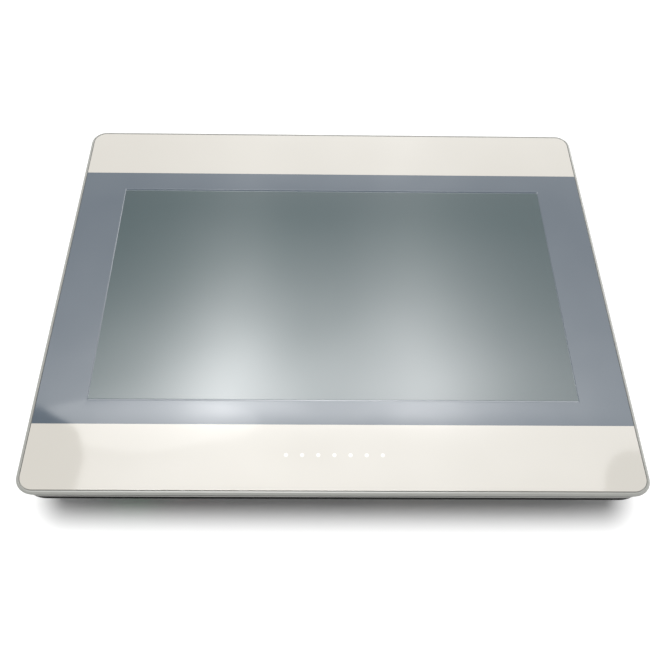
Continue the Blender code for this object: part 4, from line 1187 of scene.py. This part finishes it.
def round_off(room, across, along, unrest, shape):
    """0 inside an ellipse with a wavy edge, 1 outside."""
    centre_u, centre_v, radius_u, radius_v = shape
    offset_u = room.math("DIVIDE", room.math("SUBTRACT", across, centre_u), radius_u)
    offset_v = room.math("DIVIDE", room.math("SUBTRACT", along, centre_v), radius_v)
    squares = room.math("ADD", room.math("POWER", offset_u, 2.0), room.math("POWER", offset_v, 2.0))
    distance = room.math("ADD", room.math("SQRT", squares), room.math("MULTIPLY", unrest, 0.22))
    return room.step(distance, 0.985, 1.015)


def ceiling_level(room, across, along):
    """How bright the ceiling is at each place on it."""
    def glow(strength, centre, spread, middle, before, after):
        both = room.math(
            "MULTIPLY", bell(room, across, centre, spread, spread), bell(room, along, middle, before, after)
        )
        return room.math("MULTIPLY", both, strength)

    plane = room.add("ShaderNodeCombineXYZ", {0: across, 1: along}).outputs[0]
    wobble = room.add("ShaderNodeTexNoise", {"Vector": plane, "Scale": 14, "Detail": 1.5}).outputs[0]
    unrest = room.math("SUBTRACT", wobble, 0.5)
    level = CEILING_GLOW
    for lamp in CEILING_LAMPS:
        level = room.math("ADD", level, glow(*lamp))
    outside = round_off(room, across, along, unrest, CEILING_PANEL[1:])
    panel = room.math("MULTIPLY", room.math("SUBTRACT", 1.0, outside), CEILING_PANEL[0])
    uneven = room.math("ADD", 1.0, room.math("MULTIPLY", unrest, 0.3))
    level = room.math("MULTIPLY", room.math("ADD", level, panel), uneven)
    factors = [room.math("SUBTRACT", 1.0, glow(*CEILING_SHADE))]
    factors += [round_off(room, across, along, unrest, hole) for hole in CEILING_HOLES]
    factors.append(room.step(along, *CEILING_START))
    beyond = round_off(room, across, along, unrest, CEILING_EDGE)
    factors.append(room.math("SUBTRACT", 1.0, beyond))
    for factor in factors:
        level = room.math("MULTIPLY", level, factor)
    return level


def build_room():
    """White to the camera, an even glow to matt surfaces, a ceiling with its lamps to glossy ones."""
    world = bpy.data.worlds.new("room")
    bpy.context.scene.world = world
    world.use_nodes = True
    world.cycles.sampling_method = "NONE"
    world.node_tree.nodes.clear()
    room = Nodes(world.node_tree)
    way = room.add("ShaderNodeTexCoord").outputs[0]
    x, y, z = room.add("ShaderNodeSeparateXYZ", {0: way}).outputs
    height = room.math("MAXIMUM", z, 0.02)
    overhead = ceiling_level(room, room.math("DIVIDE", x, height), room.math("DIVIDE", y, height))
    # The walls are brighter on the far right side
    far_right = room.math("MAXIMUM", room.math("ADD", y, x), 0.0)
    walls = room.math("ADD", 0.9, room.math("MULTIPLY", far_right, 2.2))
    low_share = room.step(z, 0.62, 0.35)
    mixed = {0: low_share, 2: overhead, 3: walls}
    mirrored = room.add("ShaderNodeMix", mixed, data_type="FLOAT").outputs[0]
    paths = room.add("ShaderNodeLightPath").outputs
    seen = {0: paths["Is Camera Ray"], 2: AMBIENT, 3: BACKDROP}
    soft = room.add("ShaderNodeMix", seen, data_type="FLOAT").outputs[0]
    level = room.add("ShaderNodeMix", {0: paths["Is Glossy Ray"], 2: soft, 3: mirrored}).outputs[0]
    white = room.add("ShaderNodeBackground", {"Color": (1.0, 1.0, 1.0), "Strength": level})
    room.add("ShaderNodeOutputWorld", {"Surface": white.outputs[0]})


def build_camera():
    lens = bpy.data.cameras.new("camera")
    lens.sensor_width = SENSOR
    lens.lens = LENS
    camera = bpy.data.objects.new("camera", lens)
    aim = (CAMERA_TARGET - CAMERA_PLACE).to_track_quat("-Z", "Y").to_matrix().to_4x4()
    camera.matrix_world = Matrix.Translation(CAMERA_PLACE) @ aim @ Matrix.Rotation(CAMERA_ROLL, 4, "Z")
    bpy.context.scene.collection.objects.link(camera)
    bpy.context.scene.camera = camera


build_floor()
build_light()
build_room()
build_camera()
bpy.context.scene.view_settings.view_transform = "Standard"
